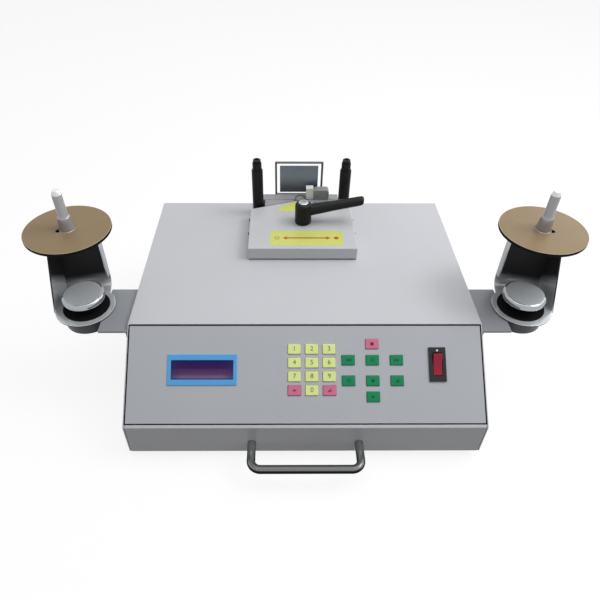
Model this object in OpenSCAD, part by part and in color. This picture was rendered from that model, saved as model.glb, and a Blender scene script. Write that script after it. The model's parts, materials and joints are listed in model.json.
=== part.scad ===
// Component reel counter: a bench machine that winds carrier tape from one reel to the other and
// counts the pockets that pass its sensor. X runs to the right, Y to the rear and Z up. The origin
// lies on the bench under the middle of the machine.

/* [Body] */
// Width of the sheet-steel body
body_w = 420; // [390:1:480]
// Depth of the flat top
top_depth = 270; // [255:1:330]
// How far the sloped panel runs forward of the top
slope_run = 96; // [90:1:115]
// Height of the body without its feet
body_h = 119.5; // [112:0.5:150]
// Height of the upright front face
face_h = 46.5; // [40:0.5:55]
// Thickness of the folded sheet
sheet = 1.8; // [1.2:0.1:2.4]
// Height of the rubber feet
foot_h = 10; // [6:0.5:16]
// Diameter of the rubber feet
foot_d = 24; // [18:1:32]
// Distance of the feet from the sides of the body
foot_inset = 38; // [28:1:60]
// Height of the tray's side flanges that take the cover screws
flange_h = 16; // [12:1:24]

/* [Control panel] */
// Thickness of the panel
panel_t = 2; // [1.5:0.1:3]
// Slit between the panel and the sheets round it
panel_gap = 1; // [0.4:0.1:1.5]
// Width of the tray's bright strip below the panel
strip_w = 4; // [3:0.5:8]
// Width of the lips that the panel lies on
lip_w = 9; // [6:0.5:10]
// Width of the display surround
lcd_w = 81; // [78:0.5:100]
// Height of the display surround
lcd_h = 36; // [33:0.5:42]
// Width of the display window
lcd_window_w = 72.5; // [60:0.5:74]
// Height of the display window
lcd_window_h = 22.5; // [16:0.5:26]
// Middle of the display, from the body's left side
lcd_inset = 89.5; // [65:0.5:95]
// Middle of the display, down the slope from the top edge
lcd_s = 54.2; // [45:0.5:60]
// How far the display surround stands proud of the panel
lcd_proud = 1.2; // [0.5:0.1:2]
// Width of a key
key_w = 15; // [12:0.5:16]
// Height of a key along the slope
key_h = 11.6; // [9:0.2:12.4]
// How far a key stands proud of the panel
key_proud = 1.4; // [1.2:0.1:2.5]
// Travel of a key
key_travel = 1; // [0.5:0.1:1.2]
// Middle of the number pad, from the middle of the panel
pad_x = 7.3; // [0:0.5:12]
// Middle of the number pad's top row, down the slope
pad_s = 30; // [26:0.5:34]
// Column spacing of the number pad
pad_dx = 20.3; // [19.8:0.1:21]
// Row spacing of the number pad
pad_ds = 16; // [15.6:0.1:16.6]
// Middle of the function keys, from the middle of the panel
function_x = 78.2; // [74:0.5:86]
// Column spacing of the function keys
function_dx = 28.3; // [22:0.1:29]
// Width of the mains switch
switch_w = 20; // [19:0.5:24]
// Height of the mains switch
switch_h = 40; // [34:0.5:46]
// Middle of the mains switch, from the body's right side
switch_inset = 55.8; // [45:0.5:62]
// Middle of the mains switch, down the slope
switch_s = 48; // [40:0.5:56]
// Width of the rocker
rocker_w = 10.4; // [9:0.2:11]
// Height of the rocker
rocker_h = 25; // [20:0.5:28]
// Tilt of the rocker each way
rocker_tilt = 9; // [5:0.5:10]

/* [Front handle] */
// Diameter of the handle bar
handle_d = 10; // [8:0.5:14]
// Distance between the handle's legs
handle_w = 126; // [90:1:160]
// How far the bar stands in front of the face
handle_reach = 36; // [30:1:50]
// Bend radius of the bar, at its centre line
handle_bend = 14; // [10:0.5:20]
// Height of the handle above the tray's bottom
handle_z = 18.5; // [14:0.5:30]

/* [Reel holders] */
// How far each reel axis stands out from the body
arm_reach = 60; // [58:0.5:80]
// Width of the arm plate
arm_w = 77; // [70:1:96]
// Where the wide part of the arm stops before the reel axis
arm_stop = 24.5; // [15:0.5:26]
// Diameter of the arm's round tongue below the holder
tongue_d = 60; // [56:1:64]
// Thickness of the arm plate
arm_t = 3; // [2:0.5:5]
// How far the arm plate lies below the body's top
arm_drop = 6.5; // [4:0.5:20]
// Height of the flange that holds the arm to the body
arm_flange_h = 42; // [34:1:60]
// Middle of the arm plate behind the panel's top edge
arm_back = 32.5; // [28:0.5:90]
// Swivel of the holder behind the panel's top edge
pivot_back = 36.5; // [30:0.5:90]
// How far the swivel stands in from the middle of the bracket
pivot_in = 1.5; // [0:0.5:4]
// Diameter of the clamp stud
stud_d = 10; // [8:0.5:12]
// Diameter of the boss below the arm plate
boss_d = 58; // [24:1:60]
// Height of the boss below the arm plate
boss_h = 15; // [6:0.5:30]
// Width of the bent bracket
bracket_w = 72; // [66:1:80]
// Height of the bent bracket
bracket_h = 94; // [90:1:110]
// Thickness of the bracket's sheet
bracket_t = 2; // [1.5:0.1:3]
// Bend radius between the bracket's base and wall
bracket_bend = 16; // [4:0.5:17]
// Depth of the bracket behind the swivel
bracket_back = 43; // [42:0.5:56]
// How far the wall is narrowed on the body's side
wall_cut = 12; // [8:0.5:14]
// How far the cheek's foot reaches ahead of the swivel
cheek_front = 11; // [0:0.5:14]
// Depth of the cheek at its top
cheek_top = 7; // [4:0.5:16]
// Diameter of the clamp knob's cap
knob_d = 51; // [44:1:58]
// Height of the clamp knob
knob_h = 21; // [18:0.5:29]
// Height of the knob's bright cap
cap_h = 10; // [8:0.5:12]
// Reel axis behind the swivel
spindle_back = 19.5; // [18:0.5:30]
// How far the reel axis stands out from the middle of the bracket
spindle_out = 1.5; // [0:0.5:4]
// Width of the square reel motor
motor_w = 28; // [26:0.5:40]
// Length of the reel motor
motor_l = 12; // [12:1:44]
// Diameter of the reel disc
disc_d = 98; // [80:1:106]
// Thickness of the reel disc
disc_t = 4; // [2:0.5:6]
// Diameter of the spindle's hub at the disc
hub_d = 17; // [16:0.1:20.1]
// Diameter of the spindle's hub at its top
hub_top_d = 14; // [13.2:0.1:16]
// Height of the spindle's hub
hub_h = 16; // [10:0.5:22]
// Diameter of the spindle's rod
rod_d = 11; // [10:0.1:12.9]
// Height of the spindle above the disc
spindle_h = 49; // [40:1:60]

/* [Tape head] */
// Thickness of the sensor's window frame
frame_t = 4; // [3:0.5:6]
// Width of the sensor's window frame
frame_w = 71; // [60:1:90]
// Height of the sensor's window frame above the body
frame_h = 70; // [60:1:90]
// Width of the frame's side bars
frame_bar = 3; // [2:0.5:4]
// Gap between the frame and its pane
pane_gap = 4.2; // [1:0.1:6]
// Middle of the window frame, from the middle of the body
frame_x = -2.5; // [-8:0.5:8]
// Width of the rear guide
guide_w = 113; // [100:1:118]
// Depth of the rear guide
guide_d = 16; // [15.5:0.5:20]
// Height of the rear guide
guide_h = 18; // [15:0.5:24]
// Slot that the tape runs through
tape_gap = 2; // [1.5:0.1:4]
// Width of the gate block
gate_w = 146.5; // [130:0.5:160]
// Length of the gate block's straight sides
gate_len = 98; // [90:1:110]
// Length of the gate block's nose
nose_len = 25; // [18:0.5:30]
// Height of the gate block
gate_h = 17.5; // [15:0.5:24]
// Travel of the gate block
gate_travel = 25; // [10:1:30]
// Lever's axis ahead of the nose
lever_back = 59.5; // [50:0.5:66]
// Diameter of the lever's hub
lever_d = 23; // [18:0.5:26]
// Height of the lever's hub
lever_h = 31; // [26:0.5:40]
// Length of the lever's arm
lever_len = 83; // [60:1:100]
// Angle by which the lever's arm rises
lever_rise = 11.5; // [0:0.5:16]
// Diameter of the tape guide posts
post_d = 16; // [12:0.5:18]
// Height of the tape guide posts
post_h = 88; // [70:1:110]
// Distance between the tape guide posts
post_w = 126; // [122:1:140]
// Posts behind the gate block's rear corners
post_back = 17; // [15:0.5:17.5]

/* [Clearances] */
// Slide fit between sheets and housings
shell_fit = 0.4; // [0.2:0.05:0.6]
// Gap round a key and round the rocker
key_fit = 0.3; // [0.2:0.05:0.5]
// Running fit of a pin in its bore, on the radius
run_fit = 0.05; // [0.02:0.01:0.08]
// Clearance of a screw in its hole, on the radius
screw_fit = 0.15; // [0.1:0.05:0.3]
// Gap below a part that slides or turns on another
slide_gap = 0.3; // [0.2:0.05:0.5]

/* [Hidden] */
$fn = 64;
inlet_lip = 2.5;
total_depth = handle_reach + handle_d / 2 + slope_run + top_depth + inlet_lip;
face_y = handle_reach + handle_d / 2 - total_depth / 2;
edge_y = face_y + slope_run;
rear_y = edge_y + top_depth;
tray_z = foot_h;
top_z = foot_h + body_h;
side_x = body_w / 2;
inner_x = side_x - sheet - shell_fit;
slope_a = atan2(body_h - face_h, slope_run);
slope_len = norm([slope_run, body_h - face_h]);
panel_top = sheet * sin(slope_a) + panel_gap;
panel_end = slope_len - strip_w - panel_gap;

// Keys: name, place across the panel, place down the slope, colour
function_drop = [-6, 13, 37, 55.5];
function_rows = [for (drop = function_drop) pad_s + drop];
key_yellow = "khaki";
key_red = "palevioletred";
key_green = "seagreen";
pad_names = [["key_1", "key_2", "key_3"], ["key_4", "key_5", "key_6"],
             ["key_7", "key_8", "key_9"], ["key_clear", "key_0", "key_enter"]];
pad_keys = [for (r = [0:3], c = [0:2])
    [pad_names[r][c], pad_x + (c - 1) * pad_dx, pad_s + r * pad_ds,
     r == 3 && c != 1 ? key_red : key_yellow]];
function_places = [["key_stop", 0, 0], ["key_rewind", -1, 1], ["key_pause", 0, 1], ["key_wind", 1, 1],
                   ["key_preset", -1, 2], ["key_mode", 0, 2], ["key_speed", 1, 2], ["key_start", 0, 3]];
function_keys = [for (p = function_places)
    [p[0], function_x + p[1] * function_dx, function_rows[p[2]], p[2] == 0 ? key_red : key_green]];
KEYS = concat(pad_keys, function_keys);
key_flange = 1.2;
key_flange_t = 1.2;
key_stem_d = 4;
key_stem = 3;
key_bottom = panel_t + slide_gap + key_flange_t + key_stem;
board_t = 1.6;
dome_h = 2;
pad_board_z = key_bottom + key_travel + slide_gap + dome_h;

// Display stack, measured down from the panel's face
lcd_x = lcd_inset - side_x;
lcd_collar = 1.5;
lcd_depth = panel_t + 1;
glass_sink = 0.4;
glass_t = 2;
lcd_board_z = 10;

// Mains switch, measured from the panel's face
switch_x = side_x - switch_inset;
switch_lip = 2.2;
switch_wall = 2;
switch_depth = 24;
switch_body_w = switch_w - 4;
switch_body_h = switch_h - 4;
rocker_pivot = 0.6;
rocker_rise = 3.4;
rocker_drop = 3;
rocker_dip = 1.6;
rocker_pin_d = 3;
rocker_pin_l = 1.4;
pocket_depth = rocker_drop + (rocker_h / 2) * sin(rocker_tilt) + 1;
pocket_h = rocker_h + 2 * rocker_rise * sin(rocker_tilt) + 2 * key_fit;

// Fasteners: shank diameter, head diameter, head height
cover_screw = [3, 6, 2];
arm_screw = [5, 9.5, 3];
foot_screw = [4, 8, 2.5];
handle_screw = [5, 9, 3.5];
nut_t = 3;
washer_room = 4;
handle_thread = 14;

// Arms and reel holders, for the right side
reel_x = side_x + arm_reach;
arm_y = edge_y + arm_back;
pivot_x = reel_x - pivot_in;
pivot_y = edge_y + pivot_back;
arm_z = top_z - arm_drop;
base_z = arm_z + slide_gap;
holder_z = base_z + bracket_h;
spindle_x = reel_x + spindle_out;
spindle_y = pivot_y + spindle_back;
spindle_gap = 2;
spindle_flange_t = 3;
spindle_flange_d = 30;
disc_z = holder_z + spindle_gap + spindle_flange_t;
shaft_d = 5;
shaft_l = 14;
pilot_d = 22;
pilot_h = bracket_t + 0.8;
collar_d = hub_d + 1;
hub_step = 3;
shoulder = 3;
spindle_tip = 5;
spindle_tip_d = 7;
notch_d = 6;
notch_r = collar_d / 2 + 1;
knob_rim = 4;
knob_neck_d = 20;
top_bend = 3;
inner_flange = 9;
inner_flange_lift = 20;

// Tape head, from the rear edge forward
guide_y = rear_y - frame_t - guide_d;
nose_y = guide_y - tape_gap;
nose_slope = nose_len / (gate_w / 2);
wedge_start = 10;
corner_y = nose_y - nose_len;
gate_y = corner_y - gate_len;
gate_gap = 1.2;
gate_z = top_z + gate_gap;
gate_roof = 4;
gate_wall = 3;
rib_t = 3;
gate_top = gate_z + gate_h;
rail_w = 34;
rail_h = 8;
rail_l = 62;
rail_inset = 14;
rail_y = gate_y + rail_inset;
lever_x = 2;
lever_y = nose_y - lever_back;
lever_stud_d = 8;
lever_boss_d = 20;
lever_z = gate_top + slide_gap;
post_y = corner_y + post_back;
post_pin_d = 6;
post_collar_d = post_d - 3;
post_collar_h = 11;
post_cap_d = 11;
post_cap_h = 4;
sprocket_d = 12.8;
sprocket_y = guide_y + sprocket_d / 2 + 0.2;
sprocket_teeth = 11;
tooth_d = 1.4;
tooth_l = 1.2;
tooth_root = 1.5;
sprocket_floor = 3;
sprocket_shaft_d = 5;
pocket_r = sprocket_d / 2 + tooth_l + 0.4;
code_disc_d = 14.8;
code_disc_drop = 6;
sensor_x = 30.5;
sensor_w = 23;
sensor_h = 15;
sensor_round = 4;
prism_w = 11;
prism_h = 18;
sensor_d = 13;
frame_top_bar = 2;
pane_t = 2;
pane_rise = 3;
pane_foot_w = 17;

// Boards and mains inside the body
inlet_inset = 90;
inlet_x = inlet_inset - side_x;
inlet_w = 28;
inlet_h = 21;
inlet_flange = 4;
inlet_depth = 20;
inlet_rise = 40;
inlet_z = tray_z + inlet_rise;
inside_y = edge_y + slope_run / 2 - 8;
supply_w = 98;
supply_d = 129;
supply_h = 38;
supply_slots = 9;
main_board_x = 40;
main_board_w = 150;
main_board_d = 100;
standoff_h = 8;
standoff_d = 7;

// Places of the feet, the cover screws and the arm screws
foot_y = [face_y + foot_inset, rear_y - foot_inset];
flange_y = [face_y + foot_inset, rear_y - foot_inset];
cover_screw_inset = 12;
cover_screw_y = [flange_y[0] + cover_screw_inset, (flange_y[0] + flange_y[1]) / 2,
                 flange_y[1] - cover_screw_inset];
cover_screw_z = tray_z + sheet + flange_h / 2;
arm_screw_inset = 14;
arm_screw_drop = 12;
arm_screw_rise = 9;
arm_screw_y = [arm_y - arm_w / 2 + arm_screw_inset, arm_y + arm_w / 2 - arm_screw_inset];
arm_screw_z = [arm_z - arm_t - arm_screw_drop, arm_z - arm_flange_h + arm_screw_rise];

// Cooling slots in the rear wall
vent_x = 40;
vent_count = 14;
vent_pitch = 8;
vent_w = 3;
vent_h = 40;

// Places children on the sloped panel: x across it, s down the slope, z out of its face
module on_panel(x = 0, s = 0) {
    translate([0, edge_y, top_z])
        rotate([slope_a, 0, 0])
            translate([x, -s, 0])
                children();
}

// A block from its lowest corner to its highest one
module block(low, high) {
    translate(low)
        cube(high - low);
}

// A block that is centred on x and y and runs from z0 to z1
module pad(w, h, z0, z1) {
    block([-w / 2, -h / 2, z0], [w / 2, h / 2, z1]);
}

// A side outline, given as points of y and z, made into a slab from x0 to x1
module slab(x0, x1, outline) {
    translate([x0, 0, 0])
        rotate([90, 0, 90])
            linear_extrude(x1 - x0)
                polygon(outline);
}

// A rod along X that starts at the origin
module rod_x(d, l) {
    rotate([0, 90, 0])
        cylinder(d = d, h = l);
}

// A rod along Y that starts at the origin
module rod_y(d, l) {
    rotate([-90, 0, 0])
        cylinder(d = d, h = l);
}

// Places children at both sides of the machine
module both_sides() {
    children();
    mirror([1, 0, 0])
        children();
}

// Bottom, front face and rear wall, folded from one sheet
module base_tray() {
    color("lightgray")
        difference() {
            union() {
                block([-inner_x, face_y, tray_z], [inner_x, rear_y, tray_z + sheet]);
                slab(-inner_x, inner_x, [[face_y, tray_z], [face_y + sheet, tray_z],
                    [face_y + sheet, tray_z + face_h], [face_y, tray_z + face_h]]);
                block([-inner_x, rear_y - sheet, tray_z],
                      [inner_x, rear_y, top_z - sheet - shell_fit]);
                tray_lip();
                for (side = [-1, 1])
                    block([side * (inner_x - sheet / 2) - sheet / 2, flange_y[0], tray_z],
                          [side * (inner_x - sheet / 2) + sheet / 2, flange_y[1],
                           tray_z + sheet + flange_h]);
            }
            tray_holes();
        }
}

// The strip below the panel and the lip that carries the panel's lower edge
module tray_lip() {
    on_panel(0, slope_len) {
        block([-inner_x, 0, -panel_t - sheet], [inner_x, strip_w, 0]);
        block([-inner_x, 0, -panel_t - sheet], [inner_x, strip_w + lip_w, -panel_t]);
    }
}

// Everything that is cut out of the tray
module tray_holes() {
    block([-side_x, face_y - handle_reach, tray_z], [side_x, face_y, top_z]);
    for (side = [-1, 1])
        translate([side * handle_w / 2, face_y - 1, tray_z + handle_z])
            rod_y(handle_screw[0] + 2 * screw_fit, sheet + 2);
    for (x = [-1, 1] * (side_x - foot_inset), y = foot_y)
        translate([x, y, tray_z - 1])
            cylinder(d = foot_screw[0] + 2 * screw_fit, h = sheet + 2);
    for (side = [-1, 1], y = cover_screw_y)
        translate([side * side_x - washer_room, y, cover_screw_z])
            rod_x(cover_screw[0] + 2 * screw_fit, 2 * washer_room);
    translate([inlet_x, rear_y - sheet - 1, inlet_z])
        inlet_outline(sheet + 2, inlet_w + 2 * shell_fit, inlet_h + 2 * shell_fit);
    vent_slots();
}

// A row of upright cooling slots in the rear wall
module vent_slots() {
    for (i = [0:vent_count - 1])
        translate([vent_x + i * vent_pitch, rear_y - sheet - 1, tray_z + body_h / 2 - vent_h / 2])
            cube([vent_w, sheet + 2, vent_h]);
}

// Top and both sides, folded from one sheet, with a lip under the panel's upper edge
module top_cover() {
    side_outline = [[face_y, tray_z], [face_y, tray_z + face_h], [edge_y, top_z],
                    [rear_y, top_z], [rear_y, tray_z]];
    color("gainsboro")
        difference() {
            union() {
                block([-side_x, edge_y, top_z - sheet], [side_x, rear_y, top_z]);
                slab(-side_x, sheet - side_x, side_outline);
                slab(side_x - sheet, side_x, side_outline);
                on_panel(0, panel_top + lip_w)
                    block([-side_x + sheet, 0, -panel_t - sheet],
                          [side_x - sheet, panel_top + lip_w, -panel_t]);
            }
            cover_holes();
        }
}

// Everything that is cut out of the cover
module cover_holes() {
    for (side = [-1, 1], y = cover_screw_y)
        translate([side * side_x - washer_room, y, cover_screw_z])
            rod_x(cover_screw[0] + 2 * screw_fit, 2 * washer_room);
    for (side = [-1, 1], y = arm_screw_y, z = arm_screw_z)
        translate([side * side_x - washer_room, y, z])
            rod_x(arm_screw[0] + 2 * screw_fit, 2 * washer_room);
    translate([0, sprocket_y, top_z - sheet - 1])
        cylinder(d = sprocket_shaft_d + 4, h = sheet + 2);
    for (side = [-1, 1])
        translate([side * post_w / 2, post_y, top_z - sheet - 1])
            cylinder(d = post_pin_d + 2 * screw_fit, h = sheet + 2);
}

// Sloped plate with the openings for the display, the keys and the switch
module control_panel() {
    half_w = side_x - sheet - panel_gap;
    color("darkgray")
        difference() {
            on_panel()
                block([-half_w, -panel_end, -panel_t], [half_w, -panel_top, 0]);
            on_panel(lcd_x, lcd_s)
                pad(lcd_window_w + 2 * lcd_collar + 2 * key_fit,
                    lcd_window_h + 2 * lcd_collar + 2 * key_fit, -panel_t - 1, 1);
            for (k = KEYS)
                on_panel(k[1], k[2])
                    pad(key_w + 2 * key_fit, key_h + 2 * key_fit, -panel_t - 1, 1);
            on_panel(switch_x, switch_s)
                pad(switch_body_w + 2 * key_fit, switch_body_h + 2 * key_fit, -panel_t - 1, 1);
        }
}

// Blue surround of the display, with a collar through the panel
module lcd_bezel() {
    color("steelblue")
        on_panel(lcd_x, lcd_s)
            difference() {
                union() {
                    pad(lcd_w, lcd_h, 0, lcd_proud);
                    pad(lcd_window_w + 2 * lcd_collar, lcd_window_h + 2 * lcd_collar, -lcd_depth, 0);
                }
                pad(lcd_window_w, lcd_window_h, -lcd_depth - 1, lcd_proud + 1);
            }
}

// Dark display glass, held by the surround's collar
module lcd_glass() {
    color("midnightblue")
        on_panel(lcd_x, lcd_s)
            pad(lcd_window_w - 2 * run_fit, lcd_window_h - 2 * run_fit,
                lcd_proud - glass_sink - glass_t, lcd_proud - glass_sink);
}

// Display board with its light box under the glass, on four pillars below the panel
module lcd_board() {
    board_w = lcd_w + 8;
    board_h = lcd_h + 6;
    color("darkgreen")
        on_panel(lcd_x, lcd_s) {
            pad(board_w, board_h, -lcd_board_z - board_t, -lcd_board_z);
            pad(lcd_window_w - 2 * shell_fit, lcd_window_h - 2 * shell_fit, -lcd_board_z,
                lcd_proud - glass_sink - glass_t);
            for (x = [-1, 1] * (board_w / 2 - 3), y = [-1, 1] * (board_h / 2 - 3))
                translate([x, y, -lcd_board_z])
                    cylinder(d = 5, h = lcd_board_z - panel_t);
        }
}

// One key: cap, retaining flange below the panel and the stem that presses its dome
module key_cap(k) {
    color(k[3])
        on_panel(k[1], k[2]) {
            pad(key_w, key_h, -panel_t - slide_gap - key_flange_t, key_proud);
            pad(key_w + 2 * key_flange, key_h + 2 * key_flange,
                -panel_t - slide_gap - key_flange_t, -panel_t - slide_gap);
            translate([0, 0, -key_bottom])
                cylinder(d = key_stem_d, h = key_stem + key_flange_t / 2);
        }
}

// Board below the keys, with a dome switch under each stem and pillars to the panel
module keypad_board() {
    left = pad_x - pad_dx - key_w;
    right = function_x + function_dx + key_w;
    top = function_rows[0] - key_h;
    bottom = function_rows[3] + key_h;
    color("darkgreen") {
        on_panel()
            block([left, -bottom, -pad_board_z - board_t], [right, -top, -pad_board_z]);
        for (k = KEYS)
            on_panel(k[1], k[2])
                translate([0, 0, -pad_board_z])
                    cylinder(d = key_stem_d + 2, h = dome_h);
        for (x = [left + 3, right - 3], s = [top + 3, bottom - 3])
            on_panel(x, s)
                translate([0, 0, -pad_board_z])
                    cylinder(d = 5, h = pad_board_z - panel_t);
    }
}

// Black housing of the mains switch, with the pocket and bores for the rocker
module switch_housing() {
    color("black")
        on_panel(switch_x, switch_s)
            difference() {
                union() {
                    pad(switch_w, switch_h, 0, switch_lip);
                    pad(switch_body_w, switch_body_h, -switch_depth, 0);
                    for (y = [-1, 0, 1] * switch_body_h / 3)
                        translate([-3, y - 0.4, -switch_depth - 8])
                            cube([6, 0.8, 8]);
                }
                translate([0, 0, rocker_pivot])
                    pad(rocker_w + 2 * key_fit, pocket_h, -pocket_depth, switch_lip + 1);
                translate([-rocker_w / 2 - rocker_pin_l - key_fit, 0, rocker_pivot])
                    rod_x(rocker_pin_d + 2 * run_fit, rocker_w + 2 * rocker_pin_l + 2 * key_fit);
            }
}

// Red rocker on its pin, tilted to its off side
module switch_rocker() {
    outline = [[-rocker_h / 2, -rocker_drop], [rocker_h / 2, -rocker_drop],
               [rocker_h / 2, rocker_rise], [0, rocker_dip], [-rocker_h / 2, rocker_rise]];
    color("firebrick")
        on_panel(switch_x, switch_s)
            translate([0, 0, rocker_pivot]) {
                rotate([rocker_tilt, 0, 0])
                    slab(-rocker_w / 2, rocker_w / 2, outline);
                translate([-rocker_w / 2 - rocker_pin_l, 0, 0])
                    rod_x(rocker_pin_d, rocker_w + 2 * rocker_pin_l);
            }
}

// Bent bar with a tapped hole in each leg's end
module front_handle() {
    color("silver")
        translate([0, face_y, tray_z + handle_z])
            both_sides()
                difference() {
                    union() {
                        translate([handle_w / 2, handle_bend - handle_reach, 0])
                            rod_y(handle_d, handle_reach - handle_bend);
                        translate([handle_w / 2 - handle_bend, handle_bend - handle_reach, 0])
                            rotate([0, 0, -90])
                                rotate_extrude(angle = 90)
                                    translate([handle_bend, 0])
                                        circle(d = handle_d);
                        translate([0, -handle_reach, 0])
                            rod_x(handle_d, handle_w / 2 - handle_bend);
                    }
                    translate([handle_w / 2, -handle_thread, 0])
                        rod_y(handle_screw[0] + 2 * screw_fit, handle_thread + 1);
                }
}

// Four tapered rubber feet, each with a sunk hole for its screw
module rubber_feet() {
    color("dimgray")
        for (x = [-1, 1] * (side_x - foot_inset), y = foot_y)
            translate([x, y, 0])
                difference() {
                    cylinder(d1 = foot_d - 4, d2 = foot_d, h = foot_h);
                    translate([0, 0, -1])
                        cylinder(d = foot_screw[1] + 4 * screw_fit, h = foot_h / 2 + 1);
                    cylinder(d = foot_screw[0] + 2 * screw_fit, h = foot_h + 1);
                }
}

// A pan-head screw whose head starts at z = 0 and whose shank runs down
module screw(size, l) {
    cylinder(d = size[1], h = size[2]);
    translate([0, 0, -l])
        cylinder(d = size[0], h = l + size[2] / 2);
}

// A hexagon nut whose top is at z = 0
module nut(size) {
    translate([0, 0, -nut_t])
        difference() {
            cylinder(d = 2 * size[0], h = nut_t, $fn = 6);
            translate([0, 0, -1])
                cylinder(d = size[0] + 2 * screw_fit, h = nut_t + 2);
        }
}

// All machine screws and nuts: cover sides, arms, feet and handle
module machine_screws() {
    color("lightslategray") {
        both_sides()
            for (y = cover_screw_y)
                translate([side_x, y, cover_screw_z])
                    rotate([0, 90, 0])
                        screw(cover_screw, 8);
        both_sides()
            for (y = arm_screw_y, z = arm_screw_z)
                translate([side_x, y, z])
                    rotate([0, 90, 0]) {
                        translate([0, 0, arm_t])
                            screw(arm_screw, arm_t + sheet + nut_t + 2);
                        translate([0, 0, -sheet])
                            nut(arm_screw);
                    }
        for (x = [-1, 1] * (side_x - foot_inset), y = foot_y)
            translate([x, y, foot_h / 2])
                rotate([180, 0, 0]) {
                    screw(foot_screw, foot_h / 2 + sheet + nut_t + 1);
                    translate([0, 0, -foot_h / 2 - sheet])
                        nut(foot_screw);
                }
        both_sides()
            translate([handle_w / 2, face_y + sheet, tray_z + handle_z])
                rotate([-90, 0, 0])
                    screw(handle_screw, sheet + handle_thread - 2);
    }
}

// Arm plate with a round tongue, a flange down the body's side and a broad boss below
module arm() {
    color("darkgray")
        difference() {
            union() {
                translate([0, 0, arm_z - arm_t]) {
                    translate([side_x, arm_y - arm_w / 2, 0])
                        cube([arm_reach - arm_stop, arm_w, arm_t]);
                    translate([pivot_x, pivot_y, 0])
                        cylinder(d = tongue_d, h = arm_t);
                }
                block([side_x, arm_y - arm_w / 2, arm_z - arm_flange_h],
                      [side_x + arm_t, arm_y + arm_w / 2, arm_z]);
                translate([pivot_x, pivot_y, arm_z - arm_t - boss_h])
                    cylinder(d = boss_d, h = boss_h + arm_t / 2);
            }
            translate([pivot_x, pivot_y, arm_z - arm_t - boss_h - 1])
                cylinder(d = stud_d + 2 * run_fit, h = boss_h + arm_t + 2);
            for (y = arm_screw_y, z = arm_screw_z)
                translate([side_x - 1, y, z])
                    rod_x(arm_screw[0] + 2 * screw_fit, arm_t + 2);
        }
}

module arm_right() {
    arm();
}

module arm_left() {
    mirror([1, 0, 0])
        arm();
}

// Points of y and z along an arc about (cy, cz), from the angle a0 to a1
function arc_points(cy, cz, r, a0, a1, n = 8) =
    [for (i = [0:n]) [cy + r * cos(a0 + (a1 - a0) * i / n), cz + r * sin(a0 + (a1 - a0) * i / n)]];

// Polished bracket on the right side, bent from one sheet
module bracket() {
    wall_y = pivot_y + bracket_back;
    half_w = bracket_w / 2;
    color("silver")
        difference() {
            union() {
                bracket_plate(base_z, pivot_y, bracket_bend);
                bracket_plate(holder_z - bracket_t, spindle_y, top_bend);
                intersection() {
                    bracket_bends(wall_y);
                    block([reel_x - half_w + wall_cut, pivot_y, base_z],
                          [reel_x + half_w, wall_y, holder_z]);
                }
                outer_cheek(wall_y);
                block([reel_x - half_w + wall_cut, wall_y - inner_flange, base_z + inner_flange_lift],
                      [reel_x - half_w + wall_cut + bracket_t, wall_y, holder_z]);
            }
            translate([pivot_x, pivot_y, base_z - 1])
                cylinder(d = stud_d + 2 * screw_fit + 2 * run_fit, h = bracket_t + 2);
            translate([spindle_x, spindle_y, holder_z - bracket_t - 1])
                cylinder(d = pilot_d + 2 * run_fit, h = bracket_t + 2);
        }
}

// A plate of the bracket: round in front, and narrowed on the body's side towards the wall
module bracket_plate(z, axis_y, bend) {
    plate_end = pivot_y + bracket_back - bend;
    half_w = bracket_w / 2;
    translate([reel_x, 0, z])
        intersection() {
            union() {
                translate([0, axis_y, 0])
                    cylinder(d = bracket_w, h = bracket_t);
                linear_extrude(bracket_t)
                    polygon([[-half_w, axis_y], [half_w, axis_y], [half_w, plate_end],
                             [wall_cut - half_w, plate_end]]);
            }
            block([-half_w, axis_y - half_w, 0], [half_w, plate_end, bracket_t]);
        }
}

// The wall with its two bends, as one folded strip
module bracket_bends(wall_y) {
    low_y = wall_y - bracket_bend;
    low_z = base_z + bracket_bend;
    high_y = wall_y - top_bend;
    high_z = holder_z - top_bend;
    slab(reel_x - bracket_w / 2, reel_x + bracket_w / 2,
         concat([[low_y - 1, base_z]],
                arc_points(low_y, low_z, bracket_bend, -90, 0),
                arc_points(high_y, high_z, top_bend, 0, 90),
                [[high_y - 1, holder_z], [high_y - 1, holder_z - bracket_t]],
                arc_points(high_y, high_z, top_bend - bracket_t, 90, 0),
                arc_points(low_y, low_z, bracket_bend - bracket_t, 0, -90),
                [[low_y - 1, base_z + bracket_t]]));
}

// Side cheek away from the body, with a slanted front edge
module outer_cheek(wall_y) {
    outer_x = reel_x + bracket_w / 2;
    slab(outer_x - bracket_t, outer_x,
         concat([[pivot_y - cheek_front, base_z]],
                arc_points(wall_y - bracket_bend, base_z + bracket_bend, bracket_bend, -90, 0),
                arc_points(wall_y - top_bend, holder_z - top_bend, top_bend, 0, 90),
                [[wall_y - top_bend - cheek_top, holder_z]]));
}

module bracket_right() {
    bracket();
}

module bracket_left() {
    mirror([1, 0, 0])
        bracket();
}

// Clamp knob: bright rounded cap, short neck and the stud through bracket and arm
module clamp_knob() {
    foot_z = base_z + bracket_t + slide_gap;
    cap_z = knob_h - cap_h;
    stud_z = arm_z - arm_t - boss_h - foot_z;
    color("gainsboro")
        translate([pivot_x, pivot_y, foot_z]) {
            cylinder(d = knob_neck_d, h = cap_z + 1);
            translate([0, 0, cap_z])
                rounded_cap(knob_d, cap_h, knob_rim);
            translate([0, 0, stud_z])
                cylinder(d = stud_d, h = cap_z - stud_z);
        }
}

// A flat round cap whose rim is rounded above and below
module rounded_cap(d, h, r) {
    cylinder(d = d - 2 * r, h = h);
    translate([0, 0, r])
        cylinder(d = d, h = h - 2 * r);
    for (z = [r, h - r])
        translate([0, 0, z])
            rotate_extrude()
                translate([d / 2 - r, 0])
                    circle(r = r);
}

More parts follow.
